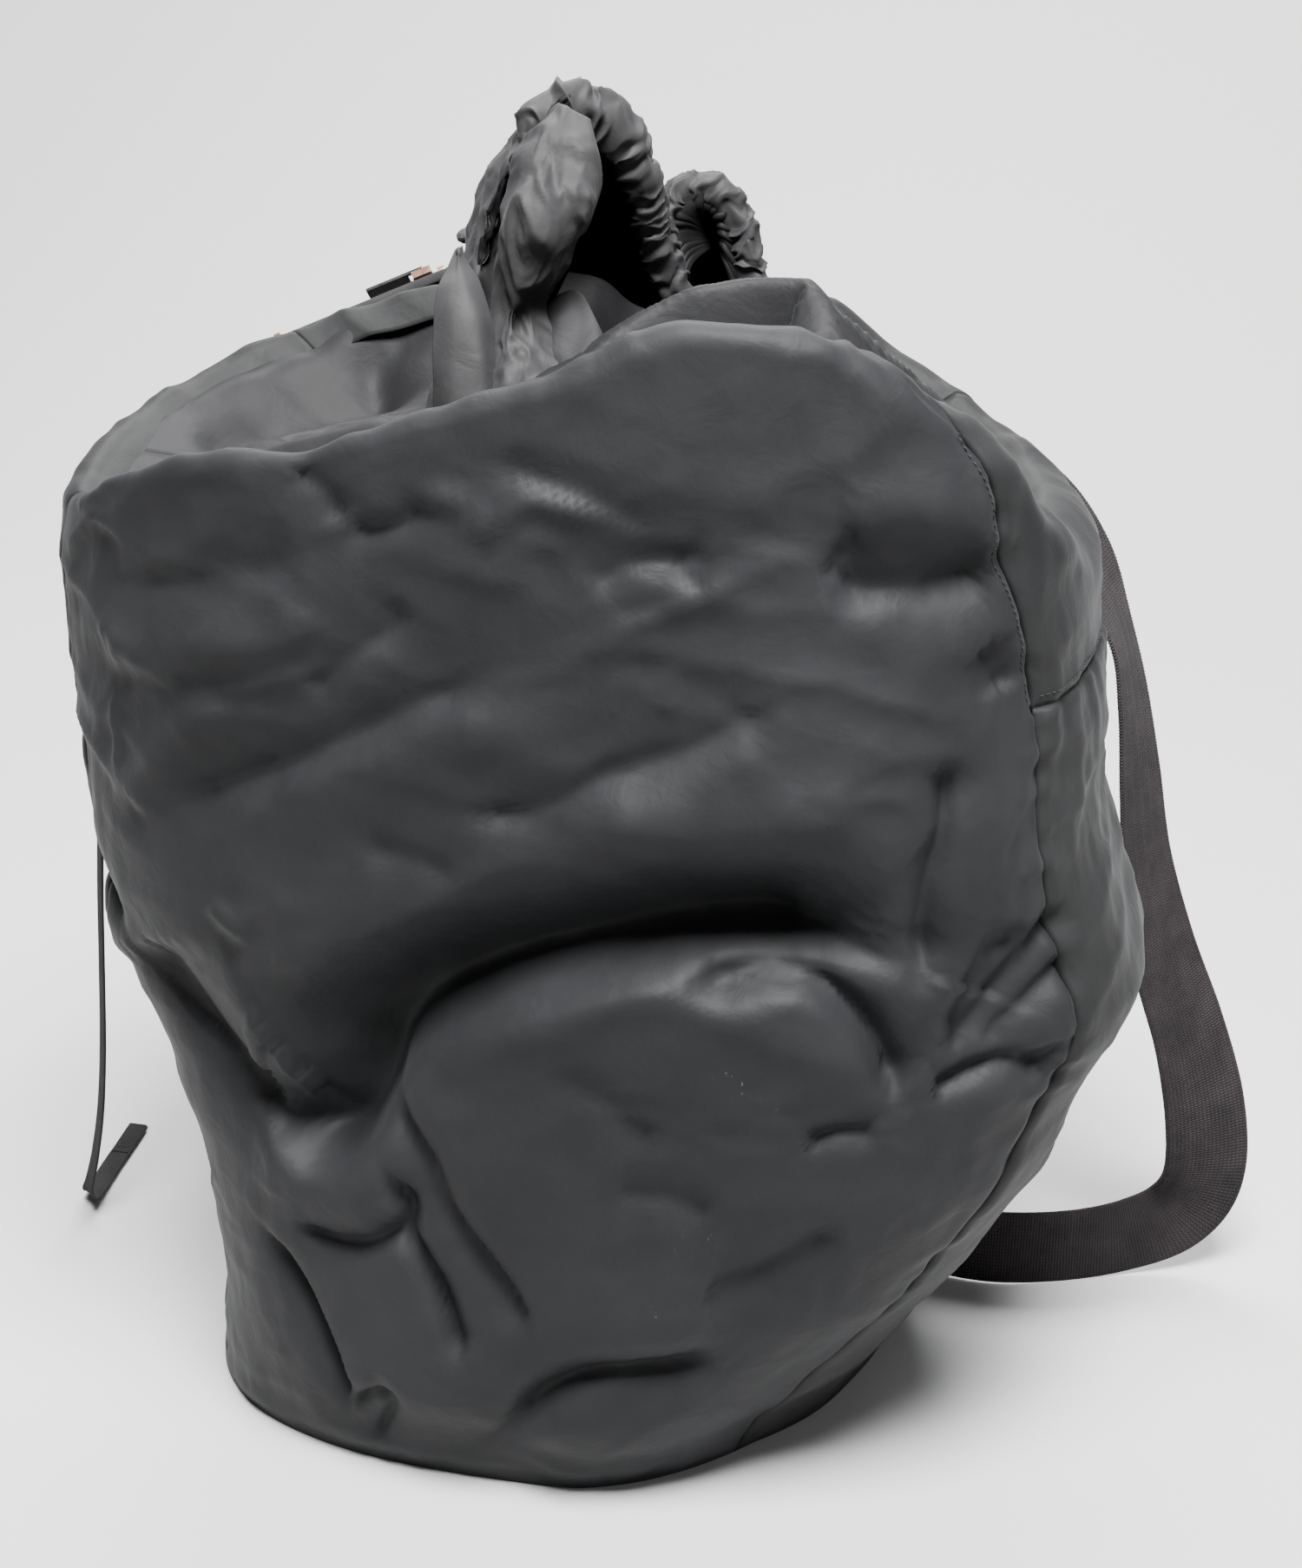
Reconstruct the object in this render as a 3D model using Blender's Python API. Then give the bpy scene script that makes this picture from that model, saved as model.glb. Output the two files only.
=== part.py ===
"""Soft drawstring sack with a gathered throat and one shoulder strap, as separate sewn pieces.

Metres, +Z up, front towards -Y, right towards +X. The origin is on the floor under the middle of
the sack's box. Every sewn seam is a small gap between two panels.
"""
import math

import bmesh
import bpy
from mathutils import Matrix, Vector

# Cloth and clearances
CLOTH = 0.002
SEAM_GAP = 0.0006
TOUCH = 0.0003
WRAP_POWER = 2.7

# Outline of the stuffed body: height, left, right, front, back
LEVELS = (
    (0.000, -0.194, 0.100, -0.095, 0.088),
    (0.020, -0.190, 0.108, -0.105, 0.100),
    (0.080, -0.188, 0.133, -0.119, 0.108),
    (0.150, -0.203, 0.162, -0.122, 0.112),
    (0.220, -0.226, 0.176, -0.119, 0.114),
    (0.300, -0.231, 0.162, -0.119, 0.113),
    (0.380, -0.230, 0.153, -0.113, 0.108),
    (0.480, -0.226, 0.140, -0.106, 0.100),
)
# The base is cut back at its front right: share at the floor, height where that ends, depth
# that keeps its place, and where along X it starts and is whole
BASE_SKEW = 0.40
SKEW_TOP = 0.22
SKEW_DEPTH = 0.063
SKEW_FROM = -0.040
SKEW_WHOLE = 0.090
# Height of the rolled rim along X, at the front and at the back
RIM_FRONT = ((-0.240, 0.385), (-0.100, 0.435), (0.035, 0.478), (0.160, 0.372))
RIM_BACK = (
    (-0.240, 0.392), (-0.190, 0.402), (-0.115, 0.431), (0.020, 0.440), (0.070, 0.436),
    (0.105, 0.410), (0.160, 0.376),
)
SIDE_SEAM_Z = 0.345
FRONT_SEAMS_DEG = (222.0, 314.0)
BACK_SEAMS_DEG = (48.0, 132.0)

# Gathered throat
THROAT_FOOT = Vector((-0.045, 0.000, 0.385))
THROAT_FOOT_HALF = (0.082, 0.052)
THROAT_TOP = Vector((-0.020, 0.008, 0.490))
THROAT_TOP_HALF = (0.052, 0.036)
THROAT_TILT = 0.026
THROAT_LOBES = 0.020
THROAT_TURN_DEG = 100.0
CHANNEL_RADIUS = 0.006
CHANNEL_BORE = 0.0038
CHANNEL_END_DEG = 9.0
CORD_EXIT_DEG = 140.0
CORD_RADIUS = 0.0015
CORD_SIDE = 0.0024
LOCK_AT = 0.020

# Webbing shoulder strap: a point on its middle line, then its width direction there
STRAP_WIDTH = 0.038
STRAP_THICK = 0.0016
STRAP_ROUTE = (
    ((0.000, 0.1130, 0.3980), (0.287, 0.00, 0.958)),
    ((0.040, 0.1130, 0.3860), (0.287, 0.00, 0.958)),
    ((0.085, 0.1130, 0.3725), (0.287, 0.00, 0.958)),
    ((0.118, 0.1090, 0.358), (0.40, 0.45, 0.70)),
    ((0.144, 0.1040, 0.338), (0.30, 0.90, 0.30)),
    ((0.160, 0.1000, 0.312), (0.10, 1.00, 0.10)),
    ((0.168, 0.0980, 0.282), (0.20, 0.95, 0.05)),
    ((0.174, 0.0960, 0.245), (0.35, 0.90, 0.00)),
    ((0.180, 0.0960, 0.205), (0.45, 0.85, 0.00)),
    ((0.190, 0.0970, 0.165), (0.60, 0.75, 0.05)),
    ((0.204, 0.0990, 0.125), (0.72, 0.65, 0.00)),
    ((0.214, 0.1010, 0.085), (0.85, 0.45, -0.10)),
    ((0.216, 0.1020, 0.052), (0.85, 0.30, -0.40)),
    ((0.206, 0.1020, 0.030), (0.60, 0.10, -0.80)),
    ((0.186, 0.0950, 0.021), (0.15, 0.00, -1.00)),
    ((0.160, 0.0830, 0.0195), (0.00, 0.00, -1.00)),
    ((0.130, 0.0755, 0.0195), (0.00, 0.00, -1.00)),
    ((0.104, 0.0770, 0.0195), (0.00, 0.00, -1.00)),
    ((0.082, 0.0840, 0.0195), (0.00, 0.00, -1.00)),
    ((0.058, 0.0940, 0.0195), (0.00, 0.00, -1.00)),
)
SLIDER_AT = 0.040

# Flat draw tape: from the eyelet down the left side to the floor
TAPE_RADIUS = 0.002
TAPE_ROUTE = (
    (-0.2335, 0.0320, 0.352), (-0.2385, 0.0316, 0.346), (-0.2420, 0.0310, 0.330),
    (-0.2455, 0.0304, 0.300), (-0.2500, 0.0300, 0.260), (-0.2545, 0.0302, 0.220),
    (-0.2585, 0.0308, 0.180), (-0.2620, 0.0320, 0.140), (-0.2660, 0.0340, 0.100),
    (-0.2710, 0.0362, 0.065), (-0.2770, 0.0385, 0.038), (-0.2830, 0.0420, 0.018),
    (-0.2865, 0.0500, 0.0070), (-0.2880, 0.0620, 0.0030), (-0.2885, 0.0780, 0.0025),
    (-0.2885, 0.0900, 0.0025),
)
TAPE_END_SIZE = (0.010, 0.024, 0.003)
EYELET_RADII = (0.006, 0.0032)
EYELET_THICK = 0.0016

# Zipped key pocket along the back rim
ZIP_FROM = Vector((-0.1865, 0.0880, 0.4085))
ZIP_TO = Vector((-0.1153, 0.1100, 0.4375))
ZIP_LEAN = Vector((-0.22, 0.80, 0.56))
TAPE_HALF = 0.011
COIL_WIDTH = 0.002
COIL_THICK = 0.0018
ZIP_SLIDER_SIZE = (0.008, 0.009, 0.0036)
POCKET_SIZE = (0.070, 0.060)


def material(name, colour, roughness, metallic=0.0):
    """Return one Principled material."""
    made = bpy.data.materials.new(name)
    made.use_nodes = True
    shader = made.node_tree.nodes["Principled BSDF"]
    shader.inputs["Base Color"].default_value = (*colour, 1.0)
    shader.inputs["Roughness"].default_value = roughness
    shader.inputs["Metallic"].default_value = metallic
    return made


def nylon(name):
    return material(name, (0.030, 0.030, 0.033), 0.55)


def webbing(name):
    return material(name, (0.022, 0.020, 0.021), 0.80)


def hard_black(name):
    return material(name, (0.020, 0.020, 0.022), 0.40)


def copper(name):
    return material(name, (0.62, 0.36, 0.26), 0.30, 1.0)


def add_object(name, mesh, paint, pivot=None):
    """Place a mesh in the scene, with its origin on the pivot where it moves."""
    thing = bpy.data.objects.new(name, mesh)
    bpy.context.collection.objects.link(thing)
    mesh.materials.append(paint)
    if pivot is not None:
        mesh.transform(Matrix.Translation(-Vector(pivot)))
        thing.location = pivot
    return thing


def mesh_from(name, build):
    """Run a bmesh builder, turn its faces outwards and return the mesh."""
    shape = bmesh.new()
    build(shape)
    bmesh.ops.recalc_face_normals(shape, faces=shape.faces)
    mesh = bpy.data.meshes.new(name)
    shape.to_mesh(mesh)
    shape.free()
    return mesh


def plate(name, outer, inner, paint, wrap=False, pivot=None):
    """Make one closed sheet of cloth between two grids of points."""

    def build(shape):
        sides = [[[shape.verts.new(p) for p in row] for row in grid] for grid in (outer, inner)]
        rows = len(outer)
        columns = len(outer[0])
        steps = columns if wrap else columns - 1
        for side in sides:
            for r in range(rows - 1):
                for c in range(steps):
                    n = (c + 1) % columns
                    shape.faces.new((side[r][c], side[r][n], side[r + 1][n], side[r + 1][c]))
        top, under = sides
        for r in (0, rows - 1):
            for c in range(steps):
                n = (c + 1) % columns
                shape.faces.new((top[r][c], top[r][n], under[r][n], under[r][c]))
        if not wrap:
            for c in (0, columns - 1):
                for r in range(rows - 1):
                    shape.faces.new((top[r][c], top[r + 1][c], under[r + 1][c], under[r][c]))

    mesh = mesh_from(name, build)
    mesh.shade_smooth()
    mesh.set_sharp_from_angle(angle=math.radians(50))
    return add_object(name, mesh, paint, pivot)


def sweep(name, path, profile, paint, bore=None, pivot=None):
    """Sweep a ring of points along a path; a bore ring makes it a pipe that is open at both ends."""

    def build(shape):
        walls = []
        for ring in filter(None, (profile, bore)):
            walls.append([[shape.verts.new(p) for p in ring(k)] for k in range(len(path))])
        for wall in walls:
            count = len(wall[0])
            for a, b in zip(wall, wall[1:]):
                for c in range(count):
                    n = (c + 1) % count
                    shape.faces.new((a[c], a[n], b[n], b[c]))
        for end in (0, len(path) - 1):
            if bore is None:
                shape.faces.new(walls[0][end])
                continue
            outside, inside = walls[0][end], walls[1][end]
            for c in range(len(outside)):
                n = (c + 1) % len(outside)
                shape.faces.new((outside[c], outside[n], inside[n], inside[c]))

    mesh = mesh_from(name, build)
    mesh.shade_smooth()
    mesh.set_sharp_from_angle(angle=math.radians(50))
    return add_object(name, mesh, paint, pivot)


def block(name, place, size, paint, pivot=None, bevel=0.0):
    """Make a box of a size in the frame of a placing matrix."""

    def build(shape):
        bmesh.ops.create_cube(shape, size=1.0)
        bmesh.ops.scale(shape, vec=size, verts=shape.verts)
        if bevel:
            bmesh.ops.bevel(
                shape, geom=shape.edges, offset=bevel, segments=2, affect="EDGES", profile=0.5,
                offset_type="OFFSET",
            )
        bmesh.ops.transform(shape, matrix=place, verts=shape.verts)

    return add_object(name, mesh_from(name, build), paint, pivot)


def cut(thing, cutter):
    """Take a hidden cutter away from an object."""
    cutter.hide_render = True
    cutter.display_type = "WIRE"
    modifier = thing.modifiers.new("cut_" + cutter.name, "BOOLEAN")
    modifier.operation = "DIFFERENCE"
    modifier.object = cutter
    modifier.solver = "EXACT"


def weld(thing, other):
    """Unite an object with a hidden second shape."""
    other.hide_render = True
    other.display_type = "WIRE"
    modifier = thing.modifiers.new("weld_" + other.name, "BOOLEAN")
    modifier.operation = "UNION"
    modifier.object = other
    modifier.solver = "EXACT"


def frame_matrix(origin, along, out):
    """Return a matrix whose X runs along, whose Z points out and whose Y is across."""
    x = Vector(along).normalized()
    y = Vector(out).cross(x).normalized()
    z = x.cross(y)
    matrix = Matrix((x, y, z)).transposed().to_4x4()
    matrix.translation = origin
    return matrix


def between(table, key):
    """Interpolate the rows of a table smoothly at a key in its first column."""
    key = min(max(key, table[0][0]), table[-1][0])
    for low, high in zip(table, table[1:]):
        if key <= high[0]:
            t = (key - low[0]) / (high[0] - low[0])
            return tuple(a + (b - a) * t for a, b in zip(low[1:], high[1:]))
    return table[-1][1:]


def ease(t):
    return t * t * (3 - 2 * t)


def rim_table_height(table, x):
    for low, high in zip(table, table[1:]):
        if x <= high[0]:
            t = min(max((x - low[0]) / (high[0] - low[0]), 0.0), 1.0)
            return low[1] + (high[1] - low[1]) * ease(t)
    return table[-1][1]


def power_wave(value):
    return math.copysign(abs(value) ** (2 / WRAP_POWER), value)


def outline(angle, z, inset=0.0):
    """Return a point of the body's outline at a height, moved in by an inset."""
    left, right, front, back = between(LEVELS, z)
    half_x = (right - left) / 2 - inset
    half_y = (back - front) / 2 - inset
    x = (left + right) / 2 + half_x * power_wave(math.cos(angle))
    y = (front + back) / 2 + half_y * power_wave(math.sin(angle))
    skew = BASE_SKEW * (1 - min(z / SKEW_TOP, 1.0)) ** 2
    share = min(max((x - SKEW_FROM) / (SKEW_WHOLE - SKEW_FROM), 0.0), 1.0)
    return Vector((x + skew * share * (y - SKEW_DEPTH), y, z))


def rim_height(angle):
    """Return the height of the rim at an angle round the body."""
    foot = outline(angle, 0.40)
    front = rim_table_height(RIM_FRONT, foot.x)
    back = rim_table_height(RIM_BACK, foot.x)
    return front + (back - front) * ease((math.sin(angle) + 1) / 2)


def spread(first, last, count):
    return [first + (last - first) * k / (count - 1) for k in range(count)]


def wall_panel(name, start_deg, end_deg, low, high, columns, rows, paint):
    """Make one panel of the body's wall between two seams. Low and high are heights at an angle."""
    half_gap = math.radians(0.12)
    angles = spread(math.radians(start_deg) + half_gap, math.radians(end_deg) - half_gap, columns)
    grids = []
    for inset in (0.0, CLOTH):
        grid = []
        for t in spread(0.0, 1.0, rows):
            grid.append([outline(a, low(a) + (high(a) - low(a)) * t, inset) for a in angles])
        grids.append(grid)
    return plate(name, grids[0], grids[1], paint)


def make_body():
    """Front, back, left and two right panels, and the base with its board."""
    floor = lambda angle: 0.0
    seam_under = lambda angle: SIDE_SEAM_Z - SEAM_GAP / 2
    seam_over = lambda angle: SIDE_SEAM_Z + SEAM_GAP / 2
    front_a, front_b = FRONT_SEAMS_DEG
    back_a, back_b = BACK_SEAMS_DEG
    wall_panel("front_panel", front_a, front_b, floor, rim_height, 21, 13, nylon("front_nylon"))
    wall_panel("left_side_panel", back_b, front_a, floor, rim_height, 15, 13, nylon("left_nylon"))
    wall_panel("back_panel", back_a, back_b, floor, rim_height, 19, 13, nylon("back_nylon"))
    right_a = front_b - 360
    wall_panel("right_lower_side_panel", right_a, back_a, floor, seam_under, 15, 11, nylon("right_lower"))
    wall_panel("right_upper_side_panel", right_a, back_a, seam_over, rim_height, 15, 4, nylon("right_upper"))
    flat_disc("base_panel", CLOTH + SEAM_GAP, 0.0, CLOTH, nylon("base_nylon"))
    board_z = CLOTH + TOUCH
    flat_disc("base_board", 0.012, board_z, board_z + 0.003, material("board", (0.08, 0.08, 0.08), 0.7))


def flat_disc(name, inset, low, high, paint):
    """Make a flat sheet inside the body's outline at the floor."""
    angles = [math.tau * k / 48 for k in range(48)]

    def build(shape):
        rings = []
        for z in (low, high):
            points = [outline(a, 0.0, inset) for a in angles]
            rings.append([shape.verts.new((p.x, p.y, z)) for p in points])
        shape.faces.new(rings[0])
        shape.faces.new(rings[1])
        for c in range(len(angles)):
            n = (c + 1) % len(angles)
            shape.faces.new((rings[0][c], rings[0][n], rings[1][n], rings[1][c]))

    add_object(name, mesh_from(name, build), paint)


def throat_foot(angle):
    half_x, half_y = THROAT_FOOT_HALF
    return THROAT_FOOT + Vector((half_x * math.cos(angle), half_y * math.sin(angle), 0.0))


def throat_top(angle):
    """Return the middle of the gathered channel at an angle round the mouth."""
    half_x, half_y = THROAT_TOP_HALF
    turn = angle + math.radians(THROAT_TURN_DEG)
    lift = THROAT_TILT * math.cos(turn) + THROAT_LOBES * math.cos(2 * turn)
    return THROAT_TOP + Vector((half_x * math.cos(angle), half_y * math.sin(angle), lift))


def channel_drop(angle):
    """Return how far below its middle the channel reaches, measured straight down its slope."""
    step = throat_top(angle + 0.02) - throat_top(angle - 0.02)
    flat = math.hypot(step.x, step.y)
    return (CHANNEL_RADIUS + 3 * TOUCH) * math.hypot(1.0, step.z / flat)


def half_turn(start_deg, columns, gap_deg=0.5):
    gap = math.radians(gap_deg)
    return spread(math.radians(start_deg) + gap, math.radians(start_deg + 180) - gap, columns)


def make_yoke(name, start_deg):
    """Make half of the inner top cloth, from the rim down to the foot of the throat."""
    angles = half_turn(start_deg, 23)
    top, under = [], []
    for t in spread(0.0, 1.0, 8):
        row = []
        for a in angles:
            edge = outline(a, rim_height(a), CLOTH + SEAM_GAP)
            foot = throat_foot(a)
            point = edge.lerp(foot, t)
            point.z -= 0.012 * math.sin(math.pi * t)
            row.append(point)
        top.append(row)
        under.append([p - Vector((0, 0, CLOTH)) for p in row])
    plate(name, top, under, nylon(name + "_nylon"))


def make_throat(name, start_deg):
    """Make one lobe of the throat, up to the underside of its channel."""
    angles = half_turn(start_deg, 21)
    outer, inner = [], []
    for t in spread(0.0, 1.0, 9):
        outer_row, inner_row = [], []
        for a in angles:
            foot = throat_foot(a)
            foot.z -= 0.004
            top = throat_top(a)
            top.z -= channel_drop(a)
            point = foot.lerp(top, t)
            inward = Vector((-math.cos(a), -math.sin(a), 0.0))
            point += inward * (SEAM_GAP + TOUCH)
            outer_row.append(point)
            inner_row.append(point + inward * CLOTH)
        outer.append(outer_row)
        inner.append(inner_row)
    plate(name, outer, inner, nylon(name + "_nylon"))


def ring_round(centre, before, after, radius, count, start=0.0):
    """Return a ring of points round a path's point, square to the path."""
    along = (after - before).normalized()
    side = along.cross(Vector((0, 0, 1))).normalized()
    up = side.cross(along)
    points = []
    for k in range(count):
        turn = start + math.tau * k / count
        points.append(centre + side * (radius * math.cos(turn)) + up * (radius * math.sin(turn)))
    return points


def tube_ring(path, radius, count):
    """Return a function that gives the ring at each point of a path."""

    def ring(k):
        before = path[max(k - 1, 0)]
        after = path[min(k + 1, len(path) - 1)]
        return ring_round(path[k], before, after, radius, count)

    return ring


def make_channel(name, start_deg):
    """Make half of the channel as a pipe, which the draw cord runs through."""
    path = [throat_top(a) for a in half_turn(start_deg, 25, CHANNEL_END_DEG)]
    paint = nylon(name + "_nylon")
    sweep(name, path, tube_ring(path, CHANNEL_RADIUS, 10), paint, tube_ring(path, CHANNEL_BORE, 10))


def make_draw_cord():
    """Make the elastic cord: round the channel, out at its gap and through the cord lock."""
    gap = math.radians(CHANNEL_END_DEG)
    turn = math.radians(CORD_EXIT_DEG)
    angles = spread(turn - math.tau + gap, turn - gap, 47)
    middle = [throat_top(a) for a in angles]
    start = throat_top(turn)
    out = Vector((math.cos(turn), math.sin(turn), 0.0))
    side = Vector((-math.sin(turn), math.cos(turn), 0.0)) * CORD_SIDE
    tails = [start + out * d for d in (0.006, 0.010, 0.020, 0.030, 0.042)]
    path = [p + side for p in reversed(tails)] + middle + [p - side for p in tails]
    sweep("draw_cord", path, tube_ring(path, CORD_RADIUS, 8), hard_black("elastic"))
    knot = frame_matrix(start + out * (0.0420 + TOUCH + 0.0034), out, (0, 0, 1))
    add_ball("draw_cord_knot", knot, 0.0036, hard_black("knot"), (0.9, 1.5, 0.9))
    return start, out


def add_ball(name, place, radius, paint, stretch):
    """Make a stretched ball in the frame of a placing matrix."""

    def build(shape):
        bmesh.ops.create_icosphere(shape, subdivisions=2, radius=radius)
        bmesh.ops.scale(shape, vec=stretch, verts=shape.verts)
        bmesh.ops.transform(shape, matrix=place, verts=shape.verts)

    return add_object(name, mesh_from(name, build), paint)


def cylinder(name, place, radius, length, paint, pivot=None, sides=20, bevel=0.0):
    """Make a round bar along the local Z of a placing matrix, centred on it."""

    def build(shape):
        bmesh.ops.create_cone(
            shape, cap_ends=True, segments=sides, radius1=radius, radius2=radius, depth=length
        )
        if bevel:
            rims = [e for e in shape.edges if abs(e.verts[0].co.z - e.verts[1].co.z) < length / 4]
            bmesh.ops.bevel(
                shape, geom=rims, offset=bevel, segments=2, affect="EDGES", profile=0.5, offset_type="OFFSET"
            )
        bmesh.ops.transform(shape, matrix=place, verts=shape.verts)

    return add_object(name, mesh_from(name, build), paint, pivot)


def make_cord_lock(start, out):
    """Make the cord lock: an upright cup, the spring at its bottom and the sprung button on it."""
    centre = start + out * LOCK_AT
    place = frame_matrix(centre, out, (0, 0, 1))
    lift = lambda z: place @ Matrix.Translation((0.0, 0.0, z))
    paint = hard_black("cord_lock")
    body = cylinder("cord_lock_body", place, 0.0072, 0.018, paint, centre, 24, 0.001)
    cut(body, cylinder("cord_lock_well", lift(0.0030), 0.0052, 0.0210, paint, centre, 24))
    cut(body, block("cord_lock_way", place, (0.030, 0.0088, 0.0040), paint, centre))
    button = cylinder("cord_lock_button", lift(0.00335), 0.0049, 0.0143, paint, centre, 24, 0.0008)
    cut(button, block("cord_button_way", lift(0.0016), (0.030, 0.0088, 0.0068), paint, centre))
    path = []
    for k in range(25):
        turn = math.tau * k / 12
        height = -0.0068 + 0.0022 * k / 24
        path.append(centre + Vector((0.0038 * math.cos(turn), 0.0038 * math.sin(turn), height)))
    steel = material("spring_steel", (0.6, 0.6, 0.62), 0.3, 1.0)
    sweep("cord_lock_spring", path, tube_ring(path, 0.00035, 6), steel)
    return centre


def ribbon_points(route, steps):
    """Return smooth middle points and width directions along a hand-laid route."""
    places, widths = [], []
    count = len(route)
    for k in range(count - 1):
        p = [Vector(route[min(max(k + d, 0), count - 1)][0]) for d in (-1, 0, 1, 2)]
        w = [Vector(route[k + d][1]).normalized() for d in (0, 1)]
        for s in range(steps):
            t = s / steps
            a = -t + 2 * t * t - t ** 3
            b = 2 - 5 * t * t + 3 * t ** 3
            c = t + 4 * t * t - 3 * t ** 3
            d = -t * t + t ** 3
            places.append((p[0] * a + p[1] * b + p[2] * c + p[3] * d) / 2)
            widths.append(w[0].lerp(w[1], ease(t)).normalized())
    places.append(Vector(route[-1][0]))
    widths.append(Vector(route[-1][1]).normalized())
    return places, widths


def ribbon(name, places, widths, width, thick, paint):
    """Make a flat webbing along middle points, square to its width direction."""

    def ring(k):
        along = (places[min(k + 1, len(places) - 1)] - places[max(k - 1, 0)]).normalized()
        across = (widths[k] - along * widths[k].dot(along)).normalized()
        face = along.cross(across)
        corners = ((-1, -1), (1, -1), (1, 1), (-1, 1))
        return [places[k] + across * (width / 2 * u) + face * (thick / 2 * v) for u, v in corners]

    return sweep(name, places, ring, paint)


def make_strap():
    """Make the shoulder strap, its adjuster, and the tab and patch that it is sewn to."""
    places, widths = ribbon_points(STRAP_ROUTE, 3)
    ribbon("strap_webbing", places, widths, STRAP_WIDTH, STRAP_THICK, webbing("strap_web"))
    start, end = places[0], places[-1]
    patch_z = start.z
    patch = frame_matrix(Vector((start.x - 0.012, start.y - 0.0022, patch_z)), (0.95, 0, -0.30), (0, 1, 0))
    block("strap_anchor_patch", patch, (0.052, 0.048, 0.0020), webbing("patch_web"), bevel=0.0004)
    tab = frame_matrix(end + Vector((-0.015, 0.0067, 0.0)), (-0.92, 0.37, 0), (0.37, 0.92, 0))
    block("strap_lower_tab", tab, (0.026, STRAP_WIDTH, 0.0030), webbing("tab_web"), bevel=0.0004)
    run = (places[4] - places[1]).normalized()
    centre = Vector(STRAP_ROUTE[0][0]) + run * SLIDER_AT
    centre.y = places[4].y
    place = frame_matrix(centre, run, (0, 1, 0))
    make_strap_slider(place, centre)
    return centre, run


def make_strap_slider(place, pivot):
    """Make the three-bar adjuster: end bars behind the webbing, middle bar in front of it."""
    paint = hard_black("slider_plastic")
    half = STRAP_WIDTH / 2 + 0.0032
    lift = STRAP_THICK / 2 + 0.0018
    rail_size = (0.026, 0.0040, 0.0064)
    rail = block("strap_slider", place @ Matrix.Translation((0, half, 0)), rail_size, paint, pivot)
    parts = [("slider_rail_b", (0, -half, 0), rail_size)]
    reach = half * 2 + 0.001
    parts.append(("slider_bar_left", (-0.0110, 0, -lift), (0.0036, reach, 0.0022)))
    parts.append(("slider_bar_right", (0.0110, 0, -lift), (0.0036, reach, 0.0022)))
    parts.append(("slider_bar_middle", (0, 0, lift), (0.0050, reach, 0.0022)))
    for name, shift, size in parts:
        weld(rail, block(name, place @ Matrix.Translation(shift), size, paint, pivot))


def make_hang_loop():
    """Make the small webbing loop that stands at the back rim."""
    route = []
    for k in range(17):
        turn = math.pi * (k / 16)
        x = -0.098 - 0.011 * math.cos(turn)
        z = 0.430 + 0.016 * math.sin(turn)
        route.append(Vector((x, 0.1120, z)))
    low = [Vector((p.x, p.y, 0.410)) for p in (route[0], route[-1])]
    places = [low[0]] + route + [low[1]]
    across = [Vector((0, 1, 0))] * len(places)
    ribbon("hang_loop", places, across, 0.0050, 0.0014, webbing("loop_web"))


def make_zip():
    """Make the zip of the key pocket: tapes, coils, stops, slider and pull."""
    run = (ZIP_TO - ZIP_FROM).normalized()
    length = (ZIP_TO - ZIP_FROM).length
    middle = (ZIP_FROM + ZIP_TO) / 2
    place = frame_matrix(middle, run, ZIP_LEAN)
    cloth = webbing("zip_tape")
    coil = hard_black("zip_coil")
    metal = copper("zip_metal")
    for name, side in (("upper", -1), ("lower", 1)):
        tape_place = place @ Matrix.Translation((0, side * (SEAM_GAP / 2 + TAPE_HALF / 2), 0))
        block("zip_tape_" + name, tape_place, (length, TAPE_HALF, 0.0008), cloth)
        coil_mid = side * (SEAM_GAP / 4 + COIL_WIDTH / 2)
        coil_up = 0.0004 + TOUCH + COIL_THICK / 2
        coil_place = place @ Matrix.Translation((0, coil_mid, coil_up))
        coil_size = (length - 0.012, COIL_WIDTH, COIL_THICK)
        block("zip_coil_" + name, coil_place, coil_size, coil, bevel=0.0003)
    for name, side in (("left", -1), ("right", 1)):
        stop = place @ Matrix.Translation((side * (length / 2 - 0.0040), 0, 0.0004 + TOUCH + 0.0011))
        block("zip_stop_" + name, stop, (0.0030, 0.0060, 0.0022), metal, bevel=0.0003)
    travel_end = length / 2 - 0.012
    return make_zip_slider(place, travel_end, metal), run


def make_zip_slider(place, along, metal):
    """Make the slider at the closed end of the zip, with its pull lying back along the coil."""
    long, wide, high = ZIP_SLIDER_SIZE
    pivot = place @ Vector((along, 0, 0))
    base = 0.0004 + TOUCH
    box = place @ Matrix.Translation((along, 0, base + high / 2))
    slider = block("zip_slider", box, (long, wide, high), metal, pivot)
    deep = COIL_THICK + TOUCH + 0.001
    way = place @ Matrix.Translation((along, 0, base - 0.001 + deep / 2))
    cut(slider, block("zip_slider_way", way, (long * 2, 0.0050, deep), metal, pivot))
    bridge = place @ Matrix.Translation((along, 0, base + high + 0.0012))
    weld(slider, block("zip_slider_bridge", bridge, (0.0050, 0.0016, 0.0034), metal, pivot))
    hole = place @ Matrix.Translation((along, 0, base + high + 0.0010))
    cut(slider, block("zip_slider_eye", hole, (0.0026, 0.004, 0.0018), metal, pivot))
    hinge = place @ Vector((along, 0, base + high + 0.0010))
    turn = place.to_3x3().to_4x4()
    turn.translation = hinge
    axes = place.to_3x3()
    pin = frame_matrix(hinge, axes @ Vector((0, 0, 1)), axes @ Vector((0, 1, 0)))
    pull = cylinder("zip_pull", pin, 0.0006, 0.0072, metal, hinge, 10)
    for name, side in (("zip_pull_arm_a", -1), ("zip_pull_arm_b", 1)):
        arm = turn @ Matrix.Translation((-0.0028, side * 0.0030, 0))
        weld(pull, block(name, arm, (0.0070, 0.0012, 0.0014), metal, hinge))
    tongue = turn @ Matrix.Translation((-0.0148, 0, 0))
    weld(pull, block("zip_pull_tongue", tongue, (0.0180, 0.0072, 0.0014), metal, hinge))
    return pivot, hinge


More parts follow.
